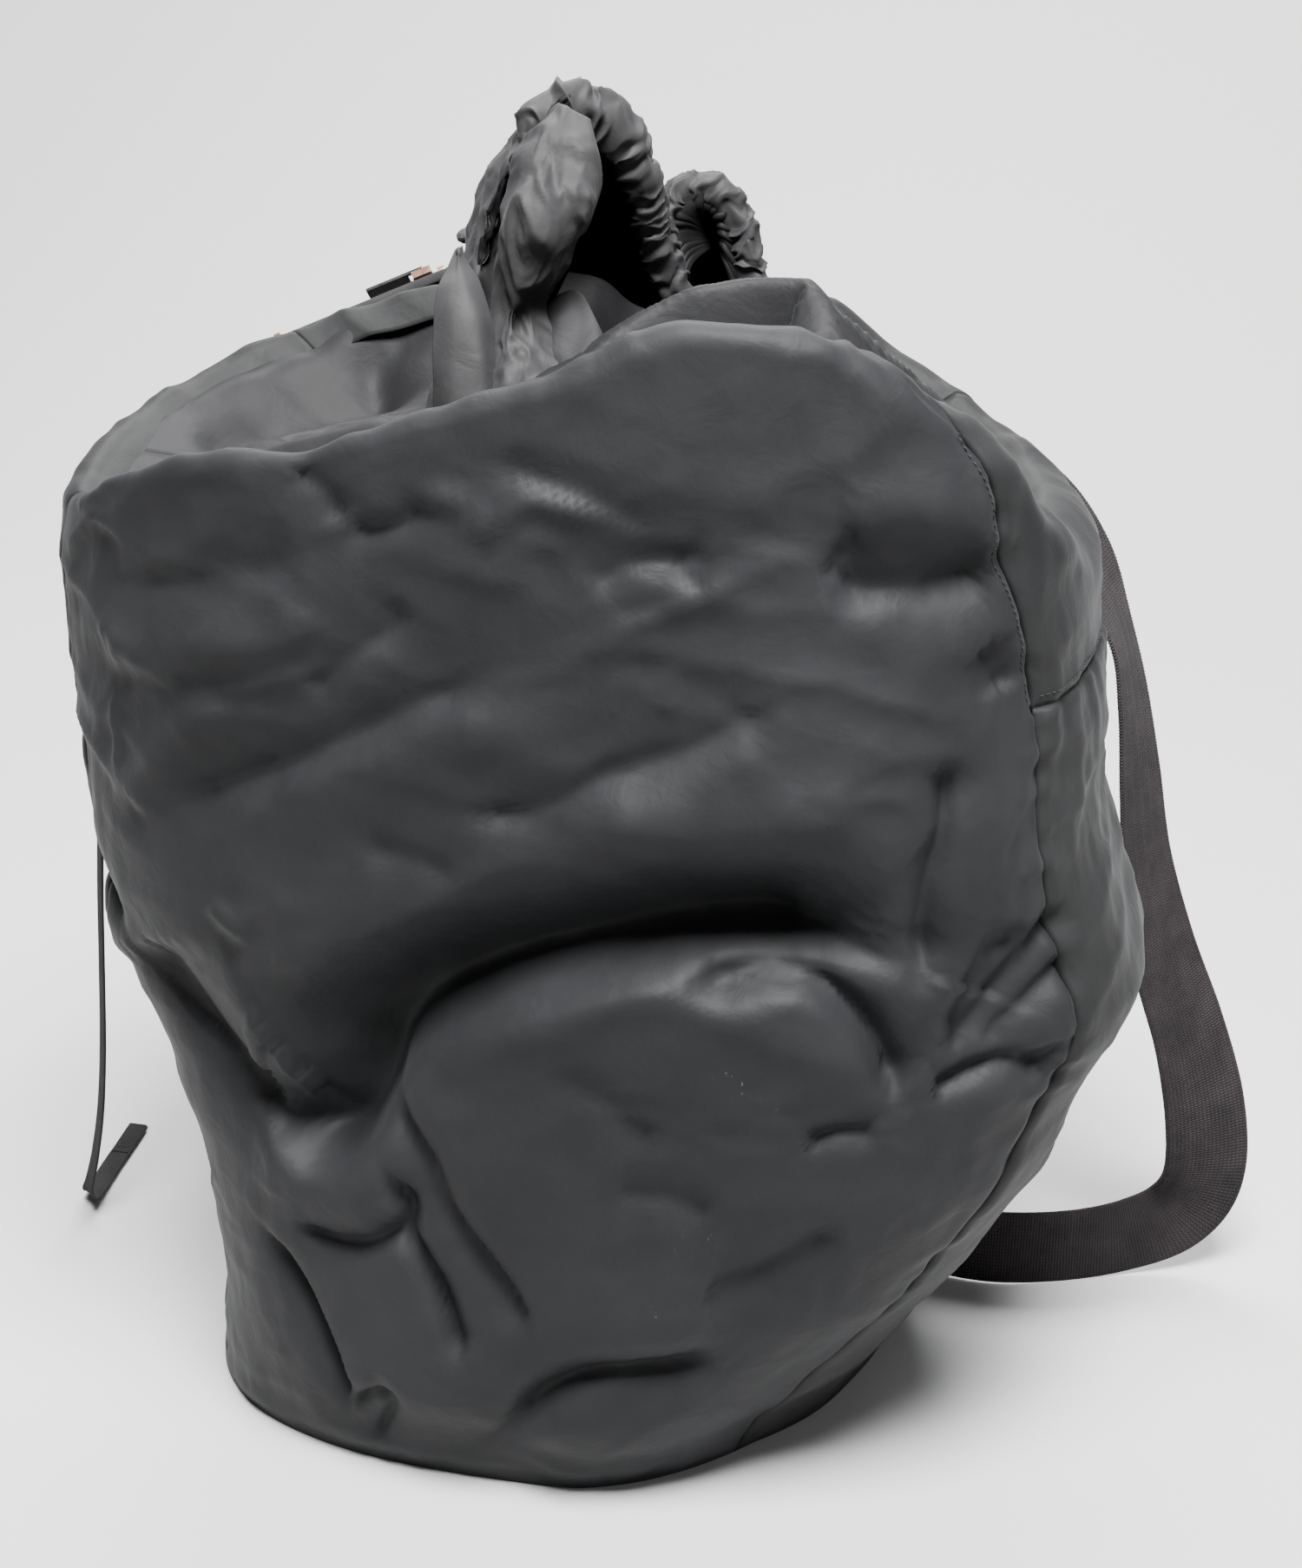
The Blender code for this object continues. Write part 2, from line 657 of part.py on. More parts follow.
def make_pocket():
    """Make the flat pocket bag that hangs inside the back panel, behind the zip."""
    wide, deep = POCKET_SIZE
    centre_x = (ZIP_FROM.x + ZIP_TO.x) / 2 + 0.012
    columns = spread(centre_x - wide / 2, centre_x + wide / 2, 9)
    outer, inner = [], []
    for z in spread(0.330, 0.330 + deep, 5):
        rows = [Vector((x, back_wall_y(x, z) - CLOTH - 0.004, z)) for x in columns]
        outer.append(rows)
        inner.append([p - Vector((0, 0.0030, 0)) for p in rows])
    plate("pocket_bag", outer, inner, nylon("pocket_nylon"))


def back_wall_y(x, z):
    left, right, front, back = between(LEVELS, z)
    share = abs((x - (left + right) / 2) / ((right - left) / 2))
    return (front + back) / 2 + (back - front) / 2 * (1 - share ** WRAP_POWER) ** (1 / WRAP_POWER)


def make_seam_bindings():
    """Make the bound seam allowances inside the two front seams."""
    for name, angle_deg in zip(("seam_binding_left", "seam_binding_right"), FRONT_SEAMS_DEG):
        angle = math.radians(angle_deg)
        levels = spread(0.020, rim_height(angle) - 0.035, 15)
        places = [outline(angle, z, CLOTH + 0.0085) for z in levels]
        centre = Vector((-0.03, 0.0, 0.0))
        widths = []
        for p in places:
            inward = centre - p
            inward.z = 0
            widths.append(inward.normalized())
        ribbon(name, places, widths, 0.0060, 0.0016, webbing(name + "_web"))


def make_draw_tape():
    """Make the eyelet, the flat draw tape's stand-in tube and its folded end."""
    first = Vector(TAPE_ROUTE[0])
    face_x = outline(math.pi, first.z).x - TOUCH - EYELET_THICK / 2 - 0.0006
    face = frame_matrix(Vector((face_x, first.y, first.z)), (0, 1, 0), (-1, 0, 0))
    outer, inner = EYELET_RADII
    metal = material("eyelet_metal", (0.05, 0.05, 0.055), 0.35, 1.0)
    ring = cylinder("eyelet", face, outer, EYELET_THICK, metal, sides=28, bevel=0.0004)
    cut(ring, cylinder("eyelet_hole", face, inner, EYELET_THICK * 3, metal, sides=28))
    curve = bpy.data.curves.new("draw_tape", "CURVE")
    curve.dimensions = "3D"
    curve.bevel_depth = TAPE_RADIUS
    curve.bevel_resolution = 2
    curve.use_fill_caps = True
    curve.render_resolution_u = 0
    route = [(Vector(p), (0, 0, 1)) for p in TAPE_ROUTE]
    points, _ = ribbon_points(route, 4)
    spline = curve.splines.new("POLY")
    spline.points.add(len(points) - 1)
    for place, point in zip(points, spline.points):
        point.co = (*place, 1.0)
    tape = bpy.data.objects.new("draw_tape", curve)
    bpy.context.collection.objects.link(tape)
    curve.materials.append(webbing("tape_web"))
    last = points[-1]
    size = TAPE_END_SIZE
    end = Matrix.Translation(last + Vector((0, TOUCH + size[1] / 2, size[2] / 2 - last.z + TOUCH)))
    block("draw_tape_end", end, size, webbing("tape_end_web"), bevel=0.0003)


def make_sack():
    for thing in list(bpy.data.objects):
        bpy.data.objects.remove(thing)
    make_body()
    for side, start_deg in (("front", CORD_EXIT_DEG), ("back", CORD_EXIT_DEG - 180.0)):
        make_yoke(side + "_yoke", start_deg)
        make_throat("throat_" + side, start_deg)
        make_channel("channel_" + side, start_deg)
    make_cord_lock(*make_draw_cord())
    make_strap()
    make_hang_loop()
    make_zip()
    make_pocket()
    make_seam_bindings()
    make_draw_tape()


make_sack()
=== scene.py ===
"""Looks of a stuffed nylon drawstring sack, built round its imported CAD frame.

Metres, +Z up, front towards -Y, strap side towards +X.
"""

import math

import bpy
import numpy as np
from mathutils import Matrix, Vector


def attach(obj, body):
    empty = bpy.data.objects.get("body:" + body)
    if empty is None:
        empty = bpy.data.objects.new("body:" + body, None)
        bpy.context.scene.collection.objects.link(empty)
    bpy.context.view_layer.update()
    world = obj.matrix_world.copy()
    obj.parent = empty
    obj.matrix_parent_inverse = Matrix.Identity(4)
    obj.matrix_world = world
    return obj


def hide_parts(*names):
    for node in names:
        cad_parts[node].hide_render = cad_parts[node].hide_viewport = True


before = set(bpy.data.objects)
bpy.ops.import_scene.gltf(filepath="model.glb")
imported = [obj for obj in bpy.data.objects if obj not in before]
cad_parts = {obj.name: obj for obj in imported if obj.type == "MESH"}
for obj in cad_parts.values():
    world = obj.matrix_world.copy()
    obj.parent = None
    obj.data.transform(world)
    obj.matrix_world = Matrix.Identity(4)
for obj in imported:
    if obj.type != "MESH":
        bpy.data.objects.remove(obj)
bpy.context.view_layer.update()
SACK = "sack"


def metres(table, shape=None):
    """A table of millimetres as an array in metres."""
    values = np.array(table, float) / 1000
    return values if shape is None else values.reshape(shape)


# Outline of the stuffed body: height, left, right, front, back, roundness of the front right corner
LEVELS = np.array((
    (0.000, -0.194, 0.104, -0.097, 0.088, 2.4),
    (0.015, -0.190, 0.107, -0.104, 0.098, 2.4),
    (0.050, -0.186, 0.120, -0.116, 0.106, 2.4),
    (0.100, -0.188, 0.142, -0.120, 0.110, 2.4),
    (0.160, -0.203, 0.166, -0.121, 0.112, 2.4),
    (0.220, -0.226, 0.182, -0.118, 0.113, 2.5),
    (0.300, -0.230, 0.160, -0.118, 0.112, 2.6),
    (0.380, -0.229, 0.152, -0.113, 0.108, 2.6),
    (0.500, -0.225, 0.138, -0.105, 0.099, 2.6),
))
ROUNDNESS = 2.7
# The base is cut back at its front right: share at the floor, height where that ends, depth
# that keeps its place, and where along X it starts and is whole
BASE_SKEW, SKEW_TOP, SKEW_DEPTH, SKEW_FROM, SKEW_WHOLE = 0.40, 0.22, 0.063, -0.040, 0.090
# Rim: degrees round the body, height and radius of its roll in mm
RIM = np.array((
    (0, 392, 20), (9, 393, 19), (36, 400, 14), (50, 411, 10), (61, 421, 9), (70, 440, 9), (79, 443, 9),
    (94, 440, 9), (108, 436, 8), (121, 427, 8), (135, 415, 8), (147, 409, 9), (160, 404, 10),
    (171, 402, 10), (181, 398, 10), (190, 394, 9), (200, 395, 7), (208, 400, 6), (227, 418, 6),
    (238, 428, 6), (249, 434, 5), (254, 434, 5), (260, 444, 6), (267, 454, 6), (272, 466, 6),
    (276, 475, 7), (280, 483, 7), (285, 487, 7), (292, 487, 8), (300, 485, 10), (306, 479, 14),
    (312, 474, 18), (325, 455, 22), (345, 414, 22), (360, 392, 20),
)) / (1, 1000, 1000)
# Side seam: height, degrees
SEAM = np.array((
    (0.000, 326.0), (0.150, 329.0), (0.250, 332.0), (0.344, 333.2), (0.358, 332.0), (0.374, 330.8),
    (0.390, 328.5), (0.398, 327.0), (0.406, 325.5), (0.422, 325.2), (0.434, 323.8), (0.450, 320.5),
    (0.462, 315.8), (0.475, 311.0), (0.500, 306.0),
))
CROSS_SEAM_Z = 0.346
LEFT_SEAM_DEG = 200.0
BACK_SEAM_RIGHT_DEG = 48.0
BACK_SEAM_LEFT_DEG = 132.0
# Folds, in mm: height, width above or left of the line, width on its other side, and the line as
# degrees and height by turns
FOLDS = (
    (5, 11, 7, (216.5, 350, 228.8, 352, 240, 360, 251.8, 370, 256.5, 386)),
    (-4, 14, 12, (216.5, 374, 235.3, 382, 247.8, 392, 255, 402)),
    (4, 8, 8, (224.2, 288, 231.5, 312, 239.3, 332, 246.2, 334)),
    (-7, 14, 8, (232.2, 294, 244, 310, 253.5, 324, 260.2, 338, 265.2, 350, 268.2, 356, 269.8, 350)),
    (3, 12, 14, (249.3, 304, 260.2, 326, 267.8, 344, 270.2, 334)),
    (-7, 13, 10, (266.5, 312, 270.2, 314, 275.8, 330, 277.8, 332, 284.5, 344, 290.5, 356, 294, 360)),
    (-4, 10, 6, (254, 348, 258.5, 364, 262.2, 374, 264.5, 388)),
    (-4, 8, 8, (254, 432, 257.5, 424, 259.2, 414)),
    (-4, 6, 6, (259.2, 414, 262, 412, 265, 418, 266, 426)),
    (3, 5, 4, (265.5, 420, 266.8, 426, 268.5, 424, 269.5, 416, 270.2, 422, 271.8, 428, 276.8, 424)),
    (-3, 8, 4, (269.8, 440, 272, 434, 274.5, 430, 276.9, 426, 281, 420)),
    (-4, 10, 5, (274.8, 396, 277.8, 406, 283, 410, 286.8, 410)),
    (-2, 5, 4, (282, 408, 285.5, 398)),
    (-9, 17, 9, (299, 402, 305.2, 398, 313, 398, 320.8, 400, 325.2, 402)),
    (-4, 3, 5, (298.8, 402, 300.8, 412, 303.2, 420)),
    (4, 12, 8, (301, 424, 308.5, 426, 317.5, 422, 324.8, 414)),
    (-5, 10, 8, (323, 376, 325.5, 364, 326.2, 356)),
    (-7, 5, 10, (316.5, 338, 315.2, 320, 313.8, 304, 311.2, 286, 309, 264, 307.8, 252)),
    (-7, 8, 6, (338, 268, 330, 262, 321.5, 248, 314.5, 234, 307.8, 216)),
    (-5, 7, 6, (327, 264, 319.8, 260, 314.2, 244, 309, 226)),
    (-5, 6, 5, (333.5, 250, 324.5, 238, 317.5, 228, 316.8, 218)),
    (-8, 11, 5, (307.8, 202, 314.2, 210, 321, 212, 328.5, 204)),
    (-34, 31, 8, (229, 178, 232.5, 170, 235.3, 166, 241.2, 156, 247.2, 162, 252.5, 182, 256, 202,
     260, 220, 264, 232, 269.5, 248, 276, 262, 283.5, 268, 295.2, 268, 302.8, 262, 307, 256)),
    (-15, 13, 4, (279.2, 250, 283, 250, 288.8, 254, 294.5, 250, 298.5, 234, 301.2, 214, 304.2, 202)),
    (2.5, 8, 9, (260.8, 202, 266.3, 218, 270.2, 234, 276.8, 248, 288.2, 234, 299.8, 214)),
    (-7, 5, 10, (256, 202, 257.3, 184, 259.5, 166, 261.2, 144, 265, 122, 268.5, 98, 269.5, 88)),
    (-9, 8, 4, (253.8, 158, 256, 140, 255.8, 126, 258, 112, 260.5, 92, 263.2, 70)),
    (-9, 3, 5, (228.5, 110, 234.5, 92, 240, 70, 246.5, 32)),
    (-7, 8, 5, (236, 116, 242.2, 114, 247.8, 116, 252.8, 124, 255.5, 134)),
    (-4, 4, 4, (246.5, 32, 251.8, 46, 254, 38, 252, 12)),
    (-9, 14, 6, (267.8, 32, 270.5, 56, 276, 68, 287.2, 72, 300.8, 76)),
    (-5, 16, 12, (288, 114, 296.5, 126, 304, 146)),
    (-5, 9, 4, (293.8, 184, 297.2, 190, 302.5, 188)),
    (-3, 8, 8, (269.8, 212, 271.2, 204, 274.5, 190, 277, 184)),
    (-4, 12, 7, (273, 160, 278.5, 160, 285, 152)),
    (-3, 9, 7, (259.2, 294, 263.5, 292, 267, 284)),
    (3, 5, 5, (238.2, 262, 240.8, 254, 242.8, 248)),
    (2, 3, 3, (221.8, 330, 221.5, 318, 221.8, 302)),
    (3, 14, 16, (275.5, 302, 284.3, 332, 291.2, 350)),
    (7, 26, 18, (239, 236, 253.3, 252, 266.8, 270, 275.3, 288, 277.5, 296, 288.8, 302, 299, 298,
     306, 282)),
    (-9, 24, 24, (218, 228, 224, 200, 230, 178, 237, 172)),
    # sides and back
    (-8, 16, 8, (345, 150, 365, 170, 390, 165, 412, 140)),
    (-7, 10, 10, (372, 330, 376, 290, 370, 240)),
    (-10, 20, 8, (50, 215, 70, 235, 95, 230, 118, 200, 138, 170)),
    (-6, 12, 10, (70, 320, 90, 300, 112, 310)),
    (-6, 10, 7, (80, 120, 100, 90, 120, 95)),
    (-7, 12, 8, (150, 250, 172, 225, 196, 240, 214, 222)),
    (-6, 9, 7, (146, 120, 168, 105, 192, 125, 210, 110)),
    (4, 12, 10, (148, 330, 170, 345, 195, 335)),
)
# Foot of the throat, counter-clockwise seen from above
FOOT = metres((
    (-90, 20, 416), (-87, -15, 422), (-82, -46, 430), (-70, -64, 438), (-45, -62, 446), (-15, -50, 454),
    (18, -36, 458), (40, -12, 450), (45, 15, 440), (38, 45, 432), (12, 65, 428), (-28, 68, 424),
    (-58, 58, 418), (-80, 42, 415),
))


def smooth(t):
    """Ease from 0 to 1, level at both ends."""
    return t * t * (3 - 2 * t)


def catmull(points, per_span, closed=False):
    """Resample a polyline as a smooth curve, with so many steps to each span."""
    p = np.asarray(points, float)
    spans = len(p) if closed else len(p) - 1
    k = np.arange(spans)
    t = (np.arange(per_span) / per_span)[None, :, None]
    quad = [p.take(k + d, axis=0, mode="wrap" if closed else "clip")[:, None] for d in (-1, 0, 1, 2)]
    weights = (-t + 2 * t**2 - t**3, 2 - 5 * t**2 + 3 * t**3, t + 4 * t**2 - 3 * t**3, -(t**2) + t**3)
    line = sum(w * q for w, q in zip(weights, quad)) / 2
    line = line.reshape(-1, p.shape[1])
    return line if closed else np.vstack([line, p[-1]])


def unit(v):
    """Vectors scaled to length 1."""
    return v / np.linalg.norm(v, axis=-1, keepdims=True)


def along(points):
    """Distance along a polyline at each of its points."""
    step = np.linalg.norm(np.diff(points, axis=0), axis=1)
    return np.concatenate([[0], np.cumsum(step)])


def even(points, count, by=None):
    """Resample rows to places evenly spaced along a polyline: their own, or another one's."""
    d = along(points if by is None else by)
    at = np.linspace(0, d[-1], count)
    return np.stack([np.interp(at, d, points[:, c]) for c in range(points.shape[1])], 1)


def tangents(line):
    """Unit directions along a polyline."""
    return unit(np.gradient(line, axis=0))


LATTICE = np.random.RandomState(7).uniform(-1, 1, (32, 32, 32))


def value_noise(points, size, shift=0.0):
    """Smooth noise from -1 to 1 at points, with features of a size in metres."""
    q = np.asarray(points, float) / size + shift
    base = np.floor(q).astype(int)
    f = smooth(q - base)
    total = 0.0
    for corner in np.ndindex(2, 2, 2):
        w = math.prod(f[..., c] if d else 1 - f[..., c] for c, d in enumerate(corner))
        total = total + w * LATTICE[tuple((base[..., c] + d) % 32 for c, d in enumerate(corner))]
    return total


# ---------------------------------------------------------------- body surface


def outline(theta, z):
    """Point of the body's smooth outline at an angle in radians and a height."""
    z = np.clip(np.asarray(z, float), LEVELS[0, 0], LEVELS[-1, 0] - 1e-6)
    k = np.clip(np.searchsorted(LEVELS[:, 0], z, side="right") - 1, 0, len(LEVELS) - 2)
    low, high = LEVELS[k], LEVELS[k + 1]
    t = (z - low[..., 0]) / (high[..., 0] - low[..., 0])
    w = 0.5 * t + 0.5 * smooth(t)
    left, right, front, back, corner = (low[..., c] + (high[..., c] - low[..., c]) * w for c in range(1, 6))
    c, s = np.cos(theta), np.sin(theta)
    share = np.clip(np.clip(c, 0, 1) * np.clip(-s, 0, 1) * 3.2, 0, 1)
    power = ROUNDNESS + (corner - ROUNDNESS) * share
    x = (left + right) / 2 + (right - left) / 2 * np.sign(c) * np.abs(c) ** (2 / power)
    y = (front + back) / 2 + (back - front) / 2 * np.sign(s) * np.abs(s) ** (2 / power)
    skew = BASE_SKEW * (1 - np.clip(z / SKEW_TOP, 0, 1)) ** 2
    x = x + skew * np.clip((x - SKEW_FROM) / (SKEW_WHOLE - SKEW_FROM), 0, 1) * (y - SKEW_DEPTH)
    return np.stack([x, y, np.broadcast_to(z, x.shape)], -1)


TURN = np.radians(np.linspace(0, 360, 1441))
GIRTH = along(outline(TURN, 0.25))


def girth(theta):
    """Distance round the body at an angle, growing past a full turn."""
    whole = np.floor(theta / math.tau)
    return np.interp(theta - whole * math.tau, TURN, GIRTH) + whole * GIRTH[-1]


def rim(theta):
    """Height and roll radius of the rim."""
    d = np.degrees(theta) % 360
    knots = RIM[:, 0]
    k = np.clip(np.searchsorted(knots, d, side="right") - 1, 0, len(knots) - 2)
    t = (d - knots[k]) / (knots[k + 1] - knots[k])
    w = 0.4 * t + 0.6 * smooth(t)
    return tuple(RIM[k, c] + (RIM[k + 1, c] - RIM[k, c]) * w for c in (1, 2))


def seam_angle(z):
    """Angle of the side seam in radians at a height."""
    return np.radians(np.interp(z, SEAM[:, 0], SEAM[:, 1]))


def line_offset(s, z, line):
    """Distance to a polyline in the unrolled wall, side of it (+1 above or left) and share along it."""
    tangent = np.gradient(line, axis=0)
    ds = s[:, None] - line[None, :, 0]
    dz = z[:, None] - line[None, :, 1]
    d2 = ds**2 + dz**2
    near = d2.argmin(1)
    rows = np.arange(len(s))
    cross = tangent[near, 0] * dz[rows, near] - tangent[near, 1] * ds[rows, near]
    return np.sqrt(d2[rows, near]), np.sign(cross), near / (len(line) - 1)


def fold_line(points):
    """A fold's line in the unrolled wall: distance round the body and height, every 2 mm or so."""
    deg, z = np.reshape(points, (-1, 2)).T
    raw = catmull(np.stack([girth(np.radians(deg)), z / 1000], 1), 8)
    return even(raw, max(12, int(along(raw)[-1] / 0.002)))


# Share added to the depth of the shallow creases
DEEPER = 1.25
FOLD_LINES = [(h / 1000, up / 1000, down / 1000, fold_line(points)) for h, up, down, points in FOLDS]


def relief(theta, z):
    """Outward height of the folds over the smooth outline."""
    flat_z = z.ravel()
    s = girth(theta.ravel())
    total = np.zeros_like(s)
    for height, up, down, line in FOLD_LINES:
        reach = 3 * max(up, down)
        for turn in (-GIRTH[-1], 0.0, GIRTH[-1]):
            where = (
                (s > line[:, 0].min() + turn - reach) & (s < line[:, 0].max() + turn + reach)
                & (flat_z > line[:, 1].min() - reach) & (flat_z < line[:, 1].max() + reach)
            )
            if not where.any():
                continue
            d, side, share = line_offset(s[where] - turn, flat_z[where], line)
            width = np.where(side > 0, up, down)
            ends = smooth(np.clip(np.minimum(share, 1 - share) / 0.16, 0, 1))
            deep = height * (DEEPER if -0.012 < height < 0 else 1.0)
            if -0.020 < height < 0:
                profile = np.exp(1.35 * (0.25 - np.sqrt((d / width) ** 2 + 0.0625)))
            else:
                profile = np.exp(-((d / width) ** 2))
            total[where] += deep * profile * (0.15 + 0.85 * ends)
    return total.reshape(theta.shape)


def seam_dip(theta, z):
    """Depth of the sewn side seams, with puckers along them."""
    s = girth(theta)
    total = np.zeros_like(s)
    lines = [(girth(seam_angle(z)), 0.0018, 0.0009)]
    for deg in (LEFT_SEAM_DEG, BACK_SEAM_RIGHT_DEG, BACK_SEAM_RIGHT_DEG + 360, BACK_SEAM_LEFT_DEG):
        lines.append((girth(np.radians(deg) + np.zeros_like(z)), 0.0010, 0.0004))
    for line, deep, pucker in lines:
        d = np.abs(s - line)
        wave = np.sin(z / 0.0042 + 3 * np.sin(z / 0.017)) * np.sin(z / 0.0093 + 1)
        total -= deep * np.exp(-((d / 0.0022) ** 2))
        total += pucker * wave * np.exp(-((d / 0.009) ** 2))
    across = (theta > seam_angle(CROSS_SEAM_Z)) & (theta < np.radians(BACK_SEAM_RIGHT_DEG + 360))
    d = np.abs(z - CROSS_SEAM_Z)
    ripple = np.sin(s / 0.0021 + 2 * np.sin(s / 0.013))
    total -= across * 0.0018 * np.exp(-((d / 0.0020) ** 2))
    below = np.clip(CROSS_SEAM_Z - z, 0, 1)
    total += across * 0.0007 * ripple * np.exp(-below / 0.020) * (z < CROSS_SEAM_Z)
    return total


def crumple(points, theta, z):
    """Soft random crumples, stronger on the upper half and beside the side seam."""
    skew = points * np.array((1.0, 1.0, 1.5))
    broad = value_noise(skew, 0.055, 3.1)
    ridge = 1 - 2 * np.abs(value_noise(skew + 0.02 * broad[..., None], 0.030, 9.7))
    s = girth(theta)
    crease = 0.0
    for slope, shift, share in ((28, 2.4, 1.0), (-14, 6.1, 0.6), (62, 8.3, 0.5)):
        c, t = math.cos(math.radians(slope)), math.sin(math.radians(slope))
        run = s * c + z * t
        off = z * c - s * t + 0.004 * ridge
        streak = value_noise(np.stack([run / 0.075, off / 0.019, 0 * run + shift], -1), 1.0, shift)
        crease = crease + share * (1 - 2.4 * np.abs(streak))
    upper = smooth(np.clip((z - 0.18) / 0.12, 0, 1)) * smooth(np.clip((0.46 - z) / 0.06, 0, 1))
    fine = value_noise(points * np.array((1.0, 1.0, 0.35)), 0.0065, 5.3)
    d = girth(theta) - girth(seam_angle(z))
    by_seam = np.exp(-((d / 0.040) ** 2)) * smooth(np.clip((z - 0.20) / 0.10, 0, 1))
    streak = value_noise(points * np.array((1.0, 1.0, 0.16)), 0.0050, 1.9)
    loose = 0.0019 * broad + 0.0007 * ridge + (0.0003 + 0.0011 * upper) * crease + 0.00030 * fine
    return loose + by_seam * 0.0011 * streak


def inward(p, x):
    """Level directions from points towards the body's middle, at some x."""
    way = np.array((x, 0.0, 0.0)) - p
    way[..., 2] = 0
    return unit(way)


def skin(theta, k, rows, low=0.0, high=None):
    """Body point at an angle and a row of the profile: the wall, the rolled rim and a lip inside it."""
    z_rim, r = rim(theta)
    top = z_rim - r if high is None else np.minimum(z_rim - r, high)
    wall_rows, roll_rows, lip_rows = rows
    t = np.clip(k / wall_rows, 0, 1)
    z = low + (top - low) * t
    arc = np.clip((k - wall_rows) / max(roll_rows, 1), 0, 1) * math.pi / 2
    q = np.clip((k - wall_rows - roll_rows) / max(lip_rows, 1), 0, 1) * 0.014
    inset = r * (1 - np.cos(arc)) + q
    z = z + r * np.sin(arc) - 0.35 * q - 14 * q * q
    p = outline(theta, np.clip(z, 0, 0.499))
    way = inward(p, -0.04)
    p[..., 2] = z
    return p + way * inset[..., None], arc, q


def surface_normals(p):
    """Outward normals of a grid of points whose rows climb and whose columns turn left to right."""
    across = np.gradient(p, axis=1)
    up = np.gradient(p, axis=0)
    n = np.cross(across, up)
    return n / np.maximum(np.linalg.norm(n, axis=-1, keepdims=True), 1e-12)


def displaced(theta, k, rows, low=0.0, high=None):
    """Body points with folds, seams and crumples, kept off the floor's underside."""
    p, arc, q = skin(theta, k, rows, low, high)
    z = p[..., 2]
    normal = surface_normals(p)
    fade = np.cos(arc) ** 2 * smooth(np.clip(z / 0.012, 0, 1))
    soft = smooth(np.clip(z / 0.010, 0, 1)) * np.where(q > 0, 0.5, 1.0)
    height = relief(theta, z) * fade + seam_dip(theta, z) * fade + crumple(p, theta, z) * soft
    p = p + normal * height[..., None]
    p[..., 2] = np.maximum(p[..., 2], 0.0)
    return p


# ---------------------------------------------------------------- mesh helpers


def add_mesh(name, vertices, faces, paint, lay):
    """A smooth-shaded piece, with each point's place in the flat piece stored as its lay."""
    mesh = bpy.data.meshes.new(name)
    mesh.from_pydata([tuple(v) for v in np.asarray(vertices).reshape(-1, 3).tolist()], [], faces)
    mesh.materials.append(paint)
    mesh.shade_smooth()
    attribute = mesh.attributes.new("lay", "FLOAT_VECTOR", "POINT")
    flat = np.zeros((len(mesh.vertices), 3), np.float32)
    flat[:, :2] = np.asarray(lay, np.float32).reshape(-1, 2)
    attribute.data.foreach_set("vector", flat.ravel())
    thing = bpy.data.objects.new(name, mesh)
    bpy.context.scene.collection.objects.link(thing)
    return thing


def grid_faces(rows, columns, wrap=False, start=0):
    """Faces of a grid of points, row by row, joined round to its first column where it wraps."""
    faces = []
    for first in range(start, start + (rows - 1) * columns, columns):
        above = first + columns
        for c in range(columns if wrap else columns - 1):
            n = (c + 1) % columns
            faces.append((first + c, first + n, above + n, above + c))
    return faces


def tube_faces(rings, count, start=0):
    """Faces of a tube of rings, capped at both ends."""
    first, last = (tuple(start + r * count + c for c in range(count)) for r in (0, rings - 1))
    return [*grid_faces(rings, count, True, start), first[::-1], last]


def tube_lay(around, s):
    """Metric coordinates over a tube of rings."""
    shape = (len(s), len(around))
    return np.stack([np.broadcast_to(around, shape), np.broadcast_to(s[:, None], shape)], -1)


def on_sack(thing, node_name=None):
    """Ride the sack, in place of a CAD node where there is one."""
    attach(thing, SACK)
    if node_name:
        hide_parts(node_name)
    return thing


def grid_lay(p):
    """Metric coordinates over a grid, across and along."""
    across = np.linalg.norm(np.diff(p, axis=1), axis=2)
    up = np.linalg.norm(np.diff(p, axis=0), axis=2)
    u = np.concatenate([np.zeros((p.shape[0], 1)), np.cumsum(across, 1)], 1)
    v = np.concatenate([np.zeros((1, p.shape[1])), np.cumsum(up, 0)], 0)
    return np.stack([u, v], -1)


def cloth(name, p, paint, thick=0.0008, inside=None):
    """A sheet of cloth through a grid of points, thickened inwards, declared at its own cut size."""
    rows, columns = p.shape[:2]
    lay = grid_lay(p)
    thing = add_mesh(name, p, grid_faces(rows, columns), paint, lay)
    solid = thing.modifiers.new("thickness", "SOLIDIFY")
    solid.thickness = thick
    solid.offset = -1.0
    solid.use_even_offset = False
    if inside:
        thing.data.materials.append(inside)
        solid.material_offset = 1
    return thing


def loft(net, rows, columns):
    """Smooth surface through a net of points: net[column][row]."""
    per_column = math.ceil(columns / (len(net) - 1))
    per_row = math.ceil(rows / (net.shape[1] - 1))
    step = catmull(net.reshape(len(net), -1), per_column).reshape(-1, net.shape[1], 3)
    return np.stack([catmull(column, per_row) for column in step], 1)


# ---------------------------------------------------------------- materials


def node(tree, kind, feeds=None, **values):
    """Add a shader node: values set its inputs or properties, and feeds link sockets to its inputs."""
    made = tree.nodes.new(kind)
    for key, value in values.items():
        if key in made.inputs:
            made.inputs[key].default_value = value
        else:
            setattr(made, key, value)
    for key, socket in (feeds or {}).items():
        tree.links.new(socket, made.inputs[key])
    return made


def math_node(tree, operation, first, second):
    """Arithmetic on a socket and a socket or number."""
    made = node(tree, "ShaderNodeMath", {0: first}, operation=operation)
    if isinstance(second, float):
        made.inputs[1].default_value = second
    elif second:
        tree.links.new(second, made.inputs[1])
    return made.outputs["Value"]


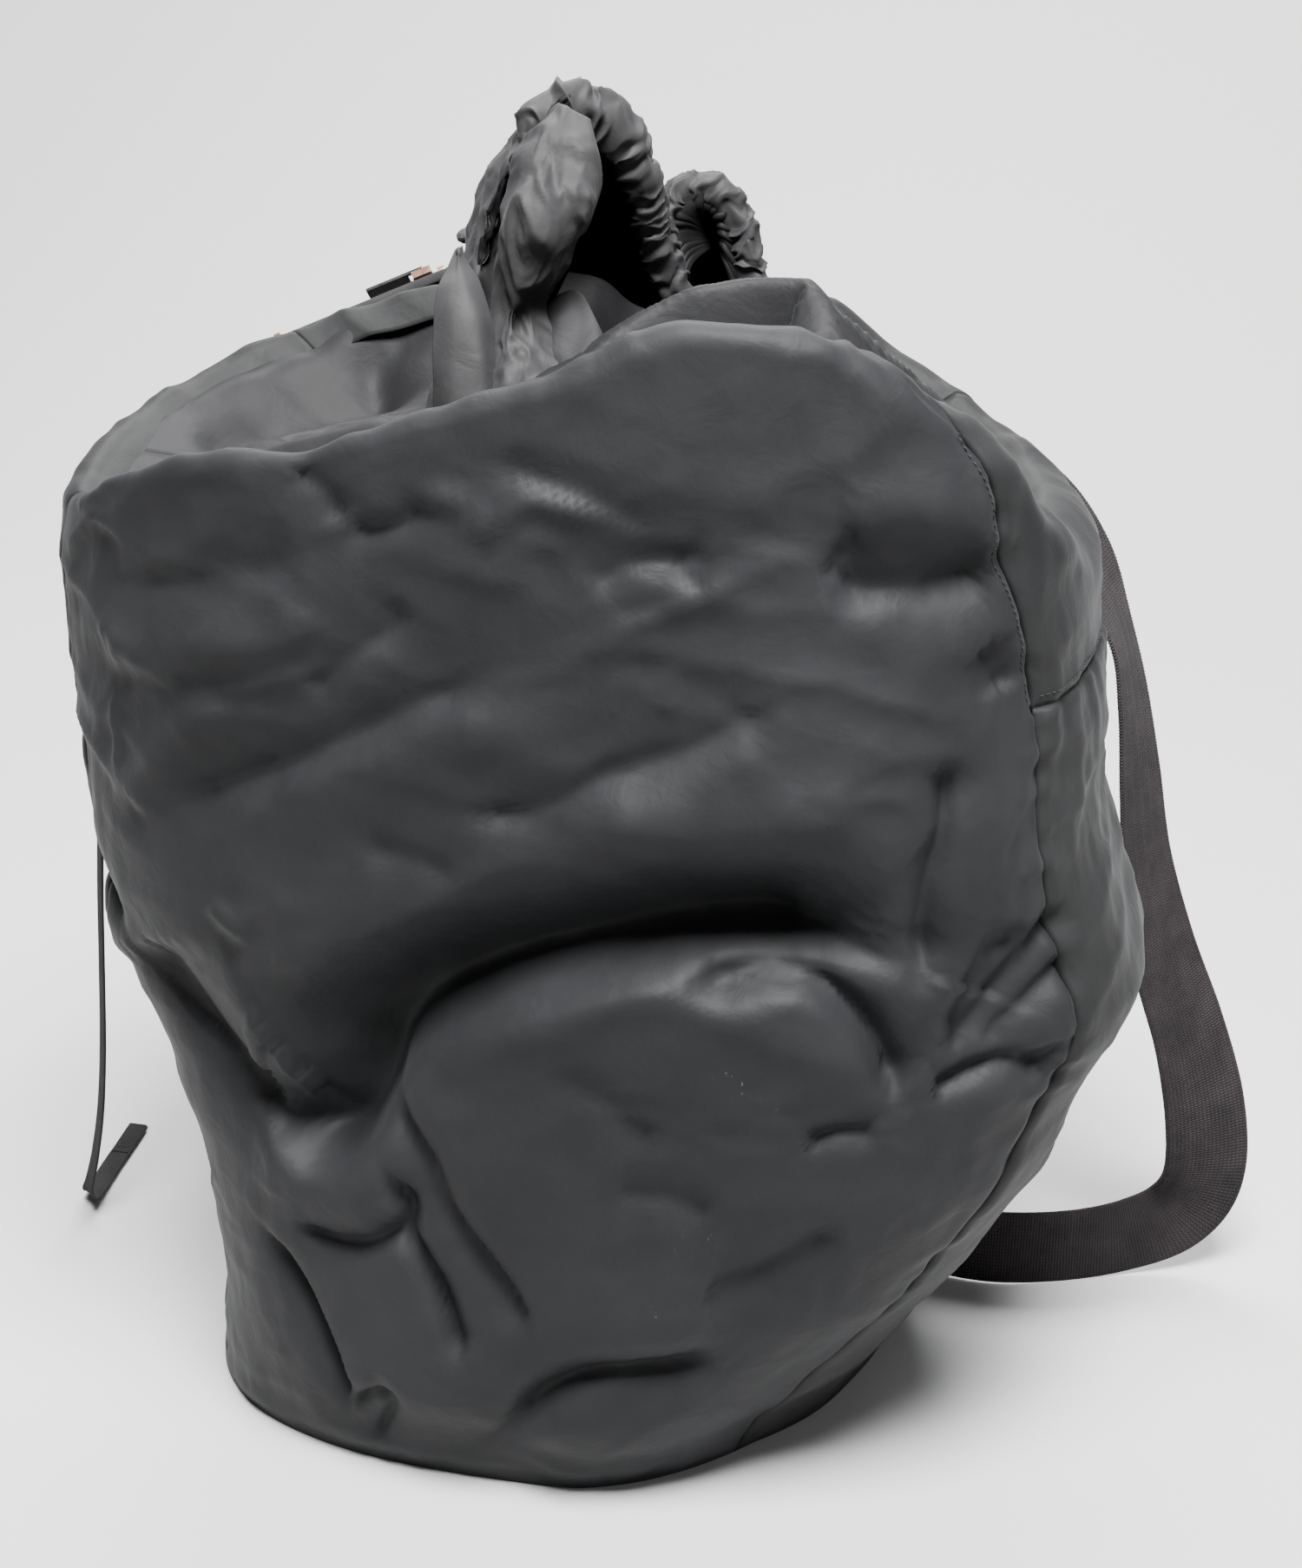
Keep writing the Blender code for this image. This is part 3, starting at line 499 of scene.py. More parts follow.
def start_material(name, roughness, specular=0.5, metallic=0.0):
    """A material, its node tree and its shader."""
    paint = bpy.data.materials.new(name)
    paint.use_nodes = True
    tree = paint.node_tree
    shader = tree.nodes["Principled BSDF"]
    shader.inputs["Roughness"].default_value = roughness
    shader.inputs["Specular IOR Level"].default_value = specular
    shader.inputs["Metallic"].default_value = metallic
    return paint, tree, shader


def tinted_noise(tree, shader, dark, light, scale, roughness_span=None):
    """Colour that drifts between two tones, and roughness with it."""
    place = node(tree, "ShaderNodeTexCoord").outputs["Object"]
    drift = node(tree, "ShaderNodeTexNoise", {"Vector": place}, Scale=scale, Detail=5.0, Roughness=0.6)
    ramp = node(tree, "ShaderNodeValToRGB", {"Fac": drift.outputs["Fac"]})
    for element, position, tone in zip(ramp.color_ramp.elements, (0.35, 0.68), (dark, light)):
        element.position, element.color = position, (*tone, 1)
    tree.links.new(ramp.outputs["Color"], shader.inputs["Base Color"])
    if roughness_span:
        low, high = roughness_span
        span = node(tree, "ShaderNodeMapRange", {"Value": drift.outputs["Fac"]},
                    **{"To Min": low, "To Max": high})
        tree.links.new(span.outputs["Result"], shader.inputs["Roughness"])
    return place, ramp.outputs["Color"]


def bump(tree, height, strength, distance, under=None):
    """Normal bumped by a height socket, over another bump where there is one."""
    feeds = {"Height": height, "Normal": under} if under else {"Height": height}
    return node(tree, "ShaderNodeBump", feeds, Strength=strength, Distance=distance).outputs["Normal"]


# Scuffs on the front: x, z, radius
WEAR = ((0.056, 0.204, 0.0075), (0.045, 0.214, 0.011), (0.030, 0.144, 0.010), (0.016, 0.110, 0.0045))


def worn(tree, shader, place, colour):
    """Pale flecks at the scuffed places."""
    stretch = node(tree, "ShaderNodeMapping", {"Vector": place}, Scale=(1.0, 1.0, 0.45))
    scratch = node(tree, "ShaderNodeTexNoise", {"Vector": stretch.outputs["Vector"]},
                   Scale=420.0, Detail=4.0, Roughness=0.75)
    facing = node(tree, "ShaderNodeVectorMath", {0: place}, operation="MULTIPLY")
    facing.inputs[1].default_value = (1, 0, 1)
    total = None
    for x, z, radius in WEAR:
        away = node(tree, "ShaderNodeVectorMath", {0: facing.outputs["Vector"]}, operation="DISTANCE")
        away.inputs[1].default_value = (x, 0, z)
        near = node(tree, "ShaderNodeMapRange", {"Value": away.outputs["Value"]},
                    **{"From Min": radius, "From Max": radius * 0.2}).outputs["Result"]
        total = math_node(tree, "MAXIMUM", total, near) if total else near
    spots = node(tree, "ShaderNodeMapRange", {"Value": scratch.outputs["Fac"]},
                 **{"From Min": 0.615, "From Max": 0.72})
    share = math_node(tree, "MULTIPLY", total, spots.outputs["Result"])
    mixed = node(tree, "ShaderNodeMix", data_type="RGBA")
    mixed.inputs["B"].default_value = (0.16, 0.155, 0.14, 1)
    tree.links.new(share, mixed.inputs["Factor"])
    tree.links.new(colour, mixed.inputs["A"])
    tree.links.new(mixed.outputs["Result"], shader.inputs["Base Color"])


def nylon(name, dark, light, sheen=0.015, wear=False, specular=0.10):
    """Woven nylon: fine plain weave, small creases, soft sheen."""
    paint, tree, shader = start_material(name, 0.55, specular)
    shader.inputs["Sheen Weight"].default_value = sheen
    shader.inputs["Sheen Roughness"].default_value = 0.45
    shader.inputs["Sheen Tint"].default_value = (0.75, 0.77, 0.82, 1)
    place, colour = tinted_noise(tree, shader, dark, light, 14.0, (0.50, 0.64))
    weave = node(tree, "ShaderNodeTexVoronoi", {"Vector": place}, Scale=2600.0)
    creases = node(tree, "ShaderNodeTexNoise", {"Vector": place},
                   Scale=75.0, Detail=6.0, Roughness=0.55, Distortion=0.6)
    coarse = bump(tree, creases.outputs["Fac"], 0.16, 0.004)
    fine = bump(tree, weave.outputs["Distance"], 0.12, 0.0002, coarse)
    tree.links.new(fine, shader.inputs["Normal"])
    if wear:
        worn(tree, shader, place, colour)
    return paint


def woven(name, dark, light, rib):
    """Ribbed webbing: crosswise ribs broken by lengthwise yarns, from the piece's lay."""
    paint, tree, shader = start_material(name, 0.72, 0.10)
    shader.inputs["Sheen Weight"].default_value = 0.02
    shader.inputs["Sheen Roughness"].default_value = 0.5
    tinted_noise(tree, shader, dark, light, 60.0)
    lay = node(tree, "ShaderNodeAttribute", attribute_name="lay")
    split = node(tree, "ShaderNodeSeparateXYZ", {"Vector": lay.outputs["Vector"]})
    waves = [math_node(tree, "SINE", math_node(tree, "MULTIPLY", split.outputs[axis], math.tau / pitch), None)
             for axis, pitch in (("X", rib * 1.4), ("Y", rib))]
    both = math_node(tree, "MULTIPLY", *waves)
    tree.links.new(bump(tree, both, 0.5, 0.0003), shader.inputs["Normal"])
    return paint


def grained(name, dark, light, roughness, metallic, drift, spread, marks_scale, detail, strength):
    """Hard surface whose tone and roughness drift, with fine marks."""
    paint, tree, shader = start_material(name, roughness, metallic=metallic)
    span = (roughness - spread[0], roughness + spread[1])
    place, _ = tinted_noise(tree, shader, dark, light, drift, span)
    marks = node(tree, "ShaderNodeTexNoise", {"Vector": place}, Scale=marks_scale, Detail=detail)
    tree.links.new(bump(tree, marks.outputs["Fac"], strength, 0.0001), shader.inputs["Normal"])
    return paint


def moulded(name, dark, light, roughness):
    """Moulded plastic with a faint grain."""
    return grained(name, dark, light, roughness, 0.0, 220.0, (0.06, 0.08), 2400.0, 2.0, 0.15)


def metal(name, dark, light, roughness):
    """Plated or sprung metal with fine rubbed marks."""
    return grained(name, dark, light, roughness, 1.0, 300.0, (0.08, 0.12), 1500.0, 3.0, 0.08)


SHELL = nylon("shell_nylon", (0.0085, 0.0088, 0.0095), (0.0135, 0.0138, 0.0148), wear=True)
SHELL_RIGHT = nylon("side_nylon", (0.0085, 0.0087, 0.009), (0.0135, 0.0137, 0.014))
# Inner top cloth: the shell's nylon painted darker, as painted shade for the recess inside the rim
SHADED_TOP_CLOTH = nylon("top_nylon_painted_shade", (0.0060, 0.0060, 0.0066), (0.0100, 0.0100, 0.0108))
# Throat cloth: the shell's nylon painted lighter, as painted light on the throat's up-facing top
LIT_THROAT_CLOTH = nylon("throat_nylon_painted_light", (0.015, 0.0148, 0.0155), (0.024, 0.0237, 0.0245))
# Lining: the same nylon painted near black, as painted shade inside the mouth and on the sheets' inner faces
SHADED_INSIDE_CLOTH = nylon("lining_nylon_painted_shade", (0.004, 0.004, 0.0043), (0.007, 0.007, 0.0074), 0.0, specular=0.05)
WEBBING = woven("black_webbing", (0.010, 0.0085, 0.009), (0.018, 0.015, 0.016), 0.0013)
TAPE = woven("black_tape", (0.008, 0.0075, 0.008), (0.014, 0.013, 0.0135), 0.0009)
THREAD = woven("black_thread", (0.012, 0.012, 0.013), (0.020, 0.020, 0.022), 0.0004)
ELASTIC = woven("black_elastic", (0.016, 0.016, 0.017), (0.028, 0.028, 0.030), 0.0008)
PLASTIC = moulded("black_plastic", (0.018, 0.018, 0.020), (0.028, 0.028, 0.030), 0.38)
COIL = moulded("coil_plastic", (0.014, 0.014, 0.015), (0.026, 0.026, 0.028), 0.32)
COPPER = metal("copper_plate", (0.50, 0.27, 0.19), (0.78, 0.50, 0.40), 0.28)
BLACK_METAL = metal("black_metal", (0.035, 0.035, 0.038), (0.06, 0.06, 0.065), 0.36)
STEEL = metal("spring_steel", (0.45, 0.45, 0.47), (0.65, 0.65, 0.67), 0.30)
BOARD = moulded("stiff_board", (0.06, 0.06, 0.06), (0.09, 0.09, 0.09), 0.7)


# ---------------------------------------------------------------- body panels

STEP = 0.0023
# Rows of a panel's grid on the wall, round the rim's roll and down the lip inside it
ROWS = (185, 9, 7)


def panel(name, start, end, node_name, paint, low=0.0, high=None, rows=ROWS):
    """One panel between two edge functions of height, tucked in a little at its side seams."""
    count = int(abs(girth(end(0.25)) - girth(start(0.25))) / STEP) + 2
    k = np.arange(sum(rows) + 1, dtype=float)[:, None]
    u = np.linspace(0, 1, count)[None, :]
    z_guess = low + ((high or 0.44) - low) * np.clip(k / rows[0], 0, 1)
    for _ in range(2):
        theta = start(z_guess) + (end(z_guess) - start(z_guess)) * u
        z_guess = skin(theta, k + 0 * u, rows, low, high)[0][..., 2]
    theta = start(z_guess) + (end(z_guess) - start(z_guess)) * u
    p = displaced(theta, k + 0 * u, rows, low, high)
    normal = surface_normals(p)
    first, last = (p[:, edge] - normal[:, edge] * 0.0030 for edge in ([0], [-1]))
    on_sack(cloth(name, np.concatenate([first, p, last], 1), paint), node_name)


def fixed(deg):
    """Panel edge that keeps one angle at every height."""
    return lambda z: np.radians(deg) + np.zeros_like(np.asarray(z, float))


panel("front_cloth", fixed(LEFT_SEAM_DEG), seam_angle, "front_panel", SHELL)
panel("back_cloth", fixed(BACK_SEAM_RIGHT_DEG), fixed(BACK_SEAM_LEFT_DEG), "back_panel", SHELL_RIGHT)
panel("left_cloth", fixed(BACK_SEAM_LEFT_DEG), fixed(LEFT_SEAM_DEG), "left_side_panel", SHELL_RIGHT)
panel("right_lower_cloth", seam_angle, fixed(BACK_SEAM_RIGHT_DEG + 360), "right_lower_side_panel",
      SHELL_RIGHT, 0.0, CROSS_SEAM_Z, (150, 0, 0))
panel("right_upper_cloth", seam_angle, fixed(BACK_SEAM_RIGHT_DEG + 360), "right_upper_side_panel",
      SHELL_RIGHT, CROSS_SEAM_Z, None, (34, 14, 7))


# ---------------------------------------------------------------- inner top cloth

FOOT_LINE = even(catmull(FOOT, 12, closed=True), 400)
RIDGE_FRONT = catmull(metres((
    (-40, -78, 453), (-31, -75, 460), (-20, -68, 466), (-11, -62, 472), (-1, -56, 478), (9, -52, 483),
    (17, -50, 486), (34, -45, 487), (52, -45, 488),
)), 8)
RIDGE_SIDE = catmull(metres((
    (52, -45, 488), (62, -52, 482), (74, -46, 471), (90, -38, 454), (106, -24, 436), (118, -6, 418),
)), 8)
RIDGE = np.vstack([RIDGE_FRONT, RIDGE_SIDE])
RIDGE_FRONT_WIDTH = np.concatenate([np.full(len(RIDGE_FRONT), 0.0085), np.full(len(RIDGE_SIDE), 0.018)])

# Folds of the inner top cloth, in mm: height, width, and the line as x and y by turns
TOP_FOLDS = (
    (-7, 11, (-184, 21, -165, 41, -134, 58)),
    (-7, 10, (-138, 79, -123, 98)),
    (4, 8, (-200, 45, -170, 68, -140, 85)),
    (-3, 3, (-156, -30, -130, -40, -100, -52)),
    (4, 7, (-190, -20, -150, -8, -115, 0)),
    (-5, 8, (-150, 20, -127, 30, -105, 35)),
    (-5, 9, (70, 10, 110, 20)),
    (-5, 8, (50, 70, 85, 80)),
    (5, 8, (80, -40, 115, -30, 135, 10)),
    (-4, 7, (-40, 80, -30, 95)),
)


def foot_at(theta):
    """Foot of the throat at an angle seen from the body's centre line."""
    turn = np.unwrap(np.arctan2(FOOT_LINE[:, 1], FOOT_LINE[:, 0] + 0.035))
    a = turn[0] + np.mod(theta - turn[0], math.tau)
    turn, line = np.append(turn, turn[0] + math.tau), np.vstack([FOOT_LINE, FOOT_LINE[0]])
    return np.stack([np.interp(a, turn, line[:, c]) for c in range(3)], -1)


def yoke(name, start_deg, node_name):
    """Half of the inner top cloth, from under the rim's lip to the foot of the throat."""
    columns, rows = 230, 46
    theta = np.radians(np.linspace(start_deg, start_deg + 180, columns))[None, :] + np.zeros((rows, 1))
    k = np.full_like(theta, ROWS[0] + ROWS[1] + 3.0)
    edge = displaced(theta, k, ROWS)[0]
    edge[:, 2] -= 0.0012
    foot = foot_at(theta[0])
    t = np.linspace(0, 1, rows)[:, None, None]
    p = edge[None] * (1 - t) + foot[None] * t
    drop = edge[None, :, 2:] - foot[None, :, 2:]
    p[..., 2:] = edge[None, :, 2:] - drop * (0.55 * t + 0.45 * smooth(t)) - 0.010 * np.sin(math.pi * t)
    middle = np.sin(math.pi * t[..., 0]) ** 0.5
    for height, width, points in TOP_FOLDS:
        line = even(catmull(metres(points, (-1, 2)), 8), 30)
        d = np.sqrt(((p[:, :, None, :2] - line[None, None]) ** 2).sum(-1)).min(-1)
        p[..., 2] += 1.7 * height / 1000 * np.exp(-((d / (width / 1000)) ** 2)) * middle
    gap = p[:, :, None, :2] - RIDGE[None, None, :, :2]
    d2 = (gap**2).sum(-1)
    near = d2.argmin(-1)
    d = np.sqrt(np.take_along_axis(d2, near[..., None], -1)[..., 0])
    behind = np.take_along_axis(gap[..., 1], near[..., None], -1)[..., 0] > 0
    width = np.where(behind, 0.018, RIDGE_FRONT_WIDTH[near])
    w = np.exp(-((d / width) ** 2)) * smooth(np.clip(t[..., 0] / 0.15, 0, 1))
    p[..., 2] = p[..., 2] * (1 - w) + RIDGE[near, 2] * w
    along_foot = np.stack([np.degrees(theta) / 420, p[..., 2] * 0.2, t[..., 0] * 0.02 + 0 * theta], -1)
    gather = value_noise(along_foot, 0.012, 4.4)
    p[..., 2] += 0.0026 * gather * t[..., 0] ** 1.5 * (1 - 0.6 * w)
    p[..., 2] += 0.0022 * value_noise(p, 0.028, 6.6) * middle
    on_sack(cloth(name, p, SHADED_TOP_CLOTH), node_name)


yoke("front_top_cloth", 180, "front_yoke")
yoke("back_top_cloth", 0, "back_yoke")


# ---------------------------------------------------------------- throat

# Each column runs from the foot to the top edge; columns go round from the back of the mouth
HORN = metres((
    (12, 30, 436,  6, 30, 440,  3, 29, 444,  1, 29, 448,  0, 28, 451,  -1, 28, 454,  -1, 28, 457),
    (2, 46, 430,  -1, 43, 438,  -4, 40, 446,  -6, 36, 455,  -8, 32, 463,  -9, 29, 471,  -9, 26, 478),
    (-12, 56, 426,  -12, 51, 439,  -13, 45, 452,  -14, 38, 465,  -15, 31, 479,  -14, 24, 491,
     -13, 18, 502),
    (-30, 60, 422,  -28, 53, 440,  -26, 45, 458,  -24, 36, 476,  -22, 26, 494,  -20, 16, 511,
     -19, 8, 524),
    (-55, 52, 418,  -53, 46, 440,  -50, 38, 462,  -47, 30, 483,  -42, 20, 505,  -37, 8, 524,
     -32, -3, 538),
    (-78, 32, 414,  -78, 29, 434,  -73, 26, 457,  -66, 22, 480,  -57, 16, 504,  -47, 7, 526,
     -38, -5, 541),
    (-90, 0, 420,  -86, 0, 442,  -82, 0, 464,  -77, 0, 486,  -70, -1, 505,  -58, -3, 524,
     -41, -7, 542),
    (-84, -40, 426,  -75, -34, 450,  -70, -32, 472,  -65, -30, 490,  -60, -28, 508,  -52, -22, 524,
     -37, -12, 540),
    (-70, -60, 434,  -64, -34, 455,  -61, -28, 475,  -58, -26, 495,  -55, -28, 513,  -48, -27, 526,
     -37, -14, 538),
    (-58, -70, 438,  -59, -50, 452,  -58, -43, 470,  -55, -42, 490,  -54, -41, 506,  -50, -38, 520,
     -39, -18, 537),
    (-46, -74, 444,  -50, -58, 456,  -50, -50, 470,  -46, -51, 487,  -42, -53, 502,  -39, -46, 518,
     -35, -20, 536),
    (-34, -72, 448,  -42, -52, 459,  -48, -45, 472,  -37, -45, 487,  -27, -44, 502,  -24, -38, 516,
     -29, -22, 533),
    (-30, -60, 448,  -36, -44, 460,  -41, -36, 473,  -32, -36, 488,  -25, -36, 503,  -25, -30, 514,
     -31, -18, 527),
), (13, -1, 3))


def ruffles(s, size, shift):
    """Irregular gathers along a distance."""
    warp = value_noise(np.stack([s, 0 * s + shift, 0 * s], -1), size * 3.1, shift)
    return np.sin(math.tau * s / size + 2.2 * warp) * (0.75 + 0.25 * warp)


def horn():
    """The front lobe: a twisted sheet, open towards the front right, gathered along its far edge."""
    p = loft(HORN, 96, 300)
    rows, columns = p.shape[:2]
    normal = surface_normals(p)
    u = np.linspace(0, 1, columns)[None, :]
    v = np.linspace(0, 1, rows)[:, None]
    s = along(p[int(rows * 0.9)])[None, :]
    gathered = smooth(np.clip((0.50 - u) / 0.10, 0, 1))
    near_top = smooth(np.clip((v - 0.55) / 0.4, 0, 1))
    band = np.exp(-(((v - 0.93) / 0.06) ** 2))
    pleat = ruffles(s + 0.006 * v, 0.0062, 2.3)
    p = p + normal * (gathered * (near_top * 0.0016 * pleat + band * 0.0022 * (0.6 + pleat)))[..., None]
    long_fold = value_noise(p * np.array((1.0, 1.0, 0.28)), 0.011, 7.7)
    long_fold = long_fold * smooth(np.clip((1.05 - v) / 0.3, 0, 1))
    p = p + normal * (0.0030 * long_fold * (1 - 0.7 * gathered))[..., None]
    broad = value_noise(p, 0.024, 2.2)
    p = p + normal * (0.0024 * broad * (1 - v**3))[..., None]
    lean = p + np.array((0.35, 0.0, 0.0)) * p[..., 2:]
    crease = 1 - 2.4 * np.abs(value_noise(lean * np.array((1.0, 1.0, 0.22)), 0.008, 3.7))
    bent = p * np.array((1.0, 1.0, 0.7)) + 0.004 * crease[..., None]
    small = 1 - 2.4 * np.abs(value_noise(bent, 0.0055, 8.7))
    p = p + normal * ((0.0013 * crease + 0.0005 * small) * (1 - 0.5 * gathered))[..., None]
    thing = cloth("throat_front_cloth", p, LIT_THROAT_CLOTH, 0.0010, SHADED_INSIDE_CLOTH)
    on_sack(thing, "throat_front")


horn()


def puckers(s, turn, size, shift):
    """Ridged gathers that wander, split and join along a channel."""
    place = np.stack([s / size, 0.9 * np.cos(turn) + 0 * s, 0.9 * np.sin(turn) + 0 * s], -1)
    warp = value_noise(place * np.array((0.35, 1.0, 1.0)), 1.0, shift)
    place[..., 0] += 0.9 * warp
    first = value_noise(place, 1.0, shift + 3)
    second = value_noise(place * np.array((1.9, 1.3, 1.3)), 1.0, shift + 6)
    return 1 - 2.2 * np.abs(first) + 0.35 * second


def gathered_band(name, line, radii, node_name, pitch, shift):
    """A gathered channel: a soft tube that puckers every few millimetres round its cord."""
    line = catmull(line, 10)
    line = even(line, int(along(line)[-1] / 0.0005))
    tangent = tangents(line)
    side = unit(np.cross(tangent, (0.0, 0.0, 1.0)))
    up = np.cross(side, tangent)
    s = along(line)
    radius = np.interp(s / s[-1], np.linspace(0, 1, len(radii)), radii)
    turns = np.linspace(0, math.tau, 41)[:-1]
    rings = []
    for turn in turns:
        wave = puckers(s, turn, pitch, shift)
        r = radius * (0.92 + 0.20 * wave)
        lean = 0.0014 * puckers(s, turn + 0.6, pitch * 1.3, shift + 11)
        rings.append(line + side * (r * math.cos(turn))[:, None]
                     + up * (r * math.sin(turn) * 1.15)[:, None] + tangent * lean[:, None])
    p = np.stack(rings, 1)
    ends = np.sqrt(np.clip(np.minimum(s, s[-1] - s) / 0.006, 0.02, 1))
    p = line[:, None] + (p - line[:, None]) * ends[:, None, None]
    faces = tube_faces(len(line), len(turns))
    thing = add_mesh(name, p, faces, LIT_THROAT_CLOTH, tube_lay(turns * 0.006, s))
    on_sack(thing, node_name)


FAR_EDGE = metres((
    (-52, -20, 523), (-47, -14, 531), (-40, -8, 534), (-33, -3, 531), (-26, 2, 525), (-22, 8, 517),
    (-19, 13, 507), (-17, 18, 496), (-15, 22, 484), (-12, 26, 472), (-8, 28, 461), (-2, 29, 451),
    (6, 30, 444),
))
BACK_ARCH = metres((
    (-10, 36, 446), (-14, 40, 460), (-16, 43, 473), (-15, 47, 484), (-11, 51, 490), (-5, 54, 492),
    (1, 56, 491), (6, 57, 487), (10, 57, 480), (13, 56, 472), (15, 54, 463), (17, 52, 453),
    (19, 50, 442),
))
gathered_band("channel_front_cloth", FAR_EDGE, metres((6, 8.5, 8.8, 8, 7, 6.2, 5.6, 5)),
              "channel_front", 0.0042, 1.3)
gathered_band("channel_back_cloth", BACK_ARCH, metres((4.4, 5, 5.2, 5.6, 6, 5.6)),
              "channel_back", 0.0036, 8.1)


def back_lobe():
    """The back lobe: a pleated hood whose mouth faces the front."""
    top = even(catmull(BACK_ARCH, 8), 13)
    t = np.linspace(0, 1, len(top))
    bow = np.sin(math.pi * t)
    foot = np.stack([-0.030 + 0.072 * t, 0.062 + 0.012 * bow, 0.424 + 0.004 * bow], 1)
    hub, deep, back = np.array(((-0.002, 0.045, 0.478), (0.000, 0.056, 0.472), (0, 0.001, 0)))
    away = top - hub
    net = (foot, foot * 0.45 + top * 0.55 + 12 * back, top + 2 * back,
           hub + away * 0.72, hub + away * 0.40 + 4 * back, deep + away * 0.14 + 6 * back)
    p = loft(np.stack(net, 1), 90, 280)
    rows, columns = p.shape[:2]
    normal = surface_normals(p)
    v = np.linspace(0, 1, rows)[:, None]
    s = along(p[int(rows * 0.42)])[None, :]
    turn = np.linspace(0, 2.2, columns)[None, :]
    pleat = puckers(s + 0 * v, turn + 1.5 * v, 0.0040, 3.3)
    share = np.exp(-(((v - 0.50) / 0.26) ** 2))
    p = p + normal * (share * 0.0016 * pleat)[..., None]
    p = p + normal * (0.0022 * value_noise(p, 0.018, 1.2) * (1 - v))[..., None]
    thing = cloth("throat_back_cloth", p, LIT_THROAT_CLOTH, 0.0008, SHADED_INSIDE_CLOTH)
    on_sack(thing, "throat_back")


back_lobe()


def lofted(name, net, rows, columns, rough, paint, thick):
    """Small cloth through a net, roughened by so much noise of a size."""
    p = loft(net, rows, columns)
    high, size, shift = rough
    p = p + surface_normals(p) * (high * value_noise(p, size, shift))[..., None]
    on_sack(cloth(name, p, paint, thick))


# Narrow turned-out fold at the left of the throat, catching the light
STRIP = metres((
    (-74.5, -66, 436,  -74.5, -64, 453,  -75.5, -58, 466,  -76, -49, 478.5,  -75, -41, 484,
     -73.5, -34, 489),
    (-64, -72, 439,  -66, -66, 456,  -68, -60, 469,  -70.5, -50, 480,  -72, -41, 485,
     -72.5, -34, 489),
    (-54, -70, 442,  -57, -62, 460,  -60, -56, 471,  -65, -49, 480,  -70, -41, 485.5,
     -72, -34, 489.5),
    (-52, -60, 442,  -55, -52, 460,  -58, -46, 471,  -63, -40, 480,  -69, -35, 485.5,
     -71.5, -31, 489.5),
), (4, -1, 3))
# Cloth inside the mouth, rising from behind the rolled ridge to the far wall, painted near black as painted
# shade
LINING = metres((
    (-52, -40, 448,  -48, -24, 456,  -46, -8, 462,  -44, 12, 470),
    (-40, -46, 446,  -36, -26, 450,  -34, -6, 456,  -32, 14, 466),
    (-26, -52, 450,  -24, -30, 444,  -22, -4, 446,  -22, 18, 458),
    (-10, -54, 458,  -10, -34, 446,  -10, -4, 442,  -11, 22, 452),
    (10, -52, 464,  6, -30, 448,  4, -2, 440,  0, 26, 442),
    (30, -45, 460,  26, -20, 448,  22, 10, 438,  18, 34, 436),
), (6, -1, 3))
# Turned flap of lining standing in the mouth, painted lighter than the lining as painted light where it faces
# up
FLAP = metres((
    (-50, -46, 446,  -47, -42, 458,  -44, -34, 468),
    (-40, -50, 448,  -38, -42, 460,  -37, -30, 474),
    (-30, -52, 450,  -28, -42, 460,  -29, -30, 474),
    (-18, -54, 452,  -18, -46, 456,  -19, -38, 461),
), (4, -1, 3))
lofted("throat_fold_cloth", STRIP, 60, 30, (0.0008, 0.012, 5.5), LIT_THROAT_CLOTH, 0.0010)
lofted("throat_lining_cloth", LINING, 50, 100, (0.0020, 0.014, 3.1), SHADED_INSIDE_CLOTH, 0.0008)
lofted("throat_flap_cloth", FLAP, 40, 60, (0.0012, 0.009, 4.1), SHADED_TOP_CLOTH, 0.0008)


# ---------------------------------------------------------------- ribbons, stitches and tubes


def route_frames(route, step):
    """Evenly spaced middle points, width directions and faces along a given route."""
    raw = catmull(route, 24)
    both = even(raw, int(along(raw[:, :3])[-1] / step) + 1, raw[:, :3])
    places, w = both[:, :3], both[:, 3:]
    t = tangents(places)
    w = unit(w - t * (w * t).sum(1, keepdims=True))
    return places, w, np.cross(t, w)


def band(name, places, across, face, width, thick, paint, slot, rib=0.0, rib_pitch=0.0013, rows=(),
         held=None):
    """Flat woven band with rounded selvedges, crosswise ribs and sunk lengthwise stitch rows."""
    half, edge = width / 2, min(thick * 0.5, 0.0008)
    lanes = np.concatenate([[-half], np.linspace(-half + edge, half - edge, 25), [half]])
    s = along(places)
    wave = np.sin(math.tau * s / rib_pitch)
    rings = []
    for side, order in ((1, lanes), (-1, lanes[1:-1][::-1])):
        for v in order:
            at_edge = abs(v) > half - 1e-9
            lift = 0.0 if at_edge else thick / 2
            dent = sum(0.35 * math.exp(-(((v - row) / 0.0007) ** 2)) for row in rows)
            height = side * (lift + (0.0 if at_edge else rib * wave * (1 - dent) - rib * 2.2 * dent))
            rings.append(places + across * v + face * np.reshape(height + 0 * s, (-1, 1)))
    lay = tube_lay(np.concatenate([lanes, lanes[1:-1][::-1]]), s)
    thing = add_mesh(name, np.stack(rings, 1), tube_faces(len(s), len(rings)), paint, lay)
    return thing


def tube(name, line, radius, paint, sides=10, texture=0.0, pitch=0.003):
    """Round tube along points, closed at both ends, with optional braid bumps."""
    t = tangents(line)
    side = unit(np.cross(t, np.where(np.abs(t[:, 2:]) > 0.9, (1.0, 0.0, 0.0), (0.0, 0.0, 1.0))))
    up = np.cross(side, t)
    s = along(line)
    turns = np.linspace(0, math.tau, sides + 1)[:-1]
    rings = []
    for turn in turns:
        r = radius * (1 + texture * np.sin(math.tau * s / pitch + 2 * turn))
        rings.append(line + (side * math.cos(turn) + up * math.sin(turn)) * r[:, None])
    return add_mesh(name, np.stack(rings, 1), tube_faces(len(s), sides), paint,
                    tube_lay(turns * radius, s))


THREAD_LIFT = 0.0002


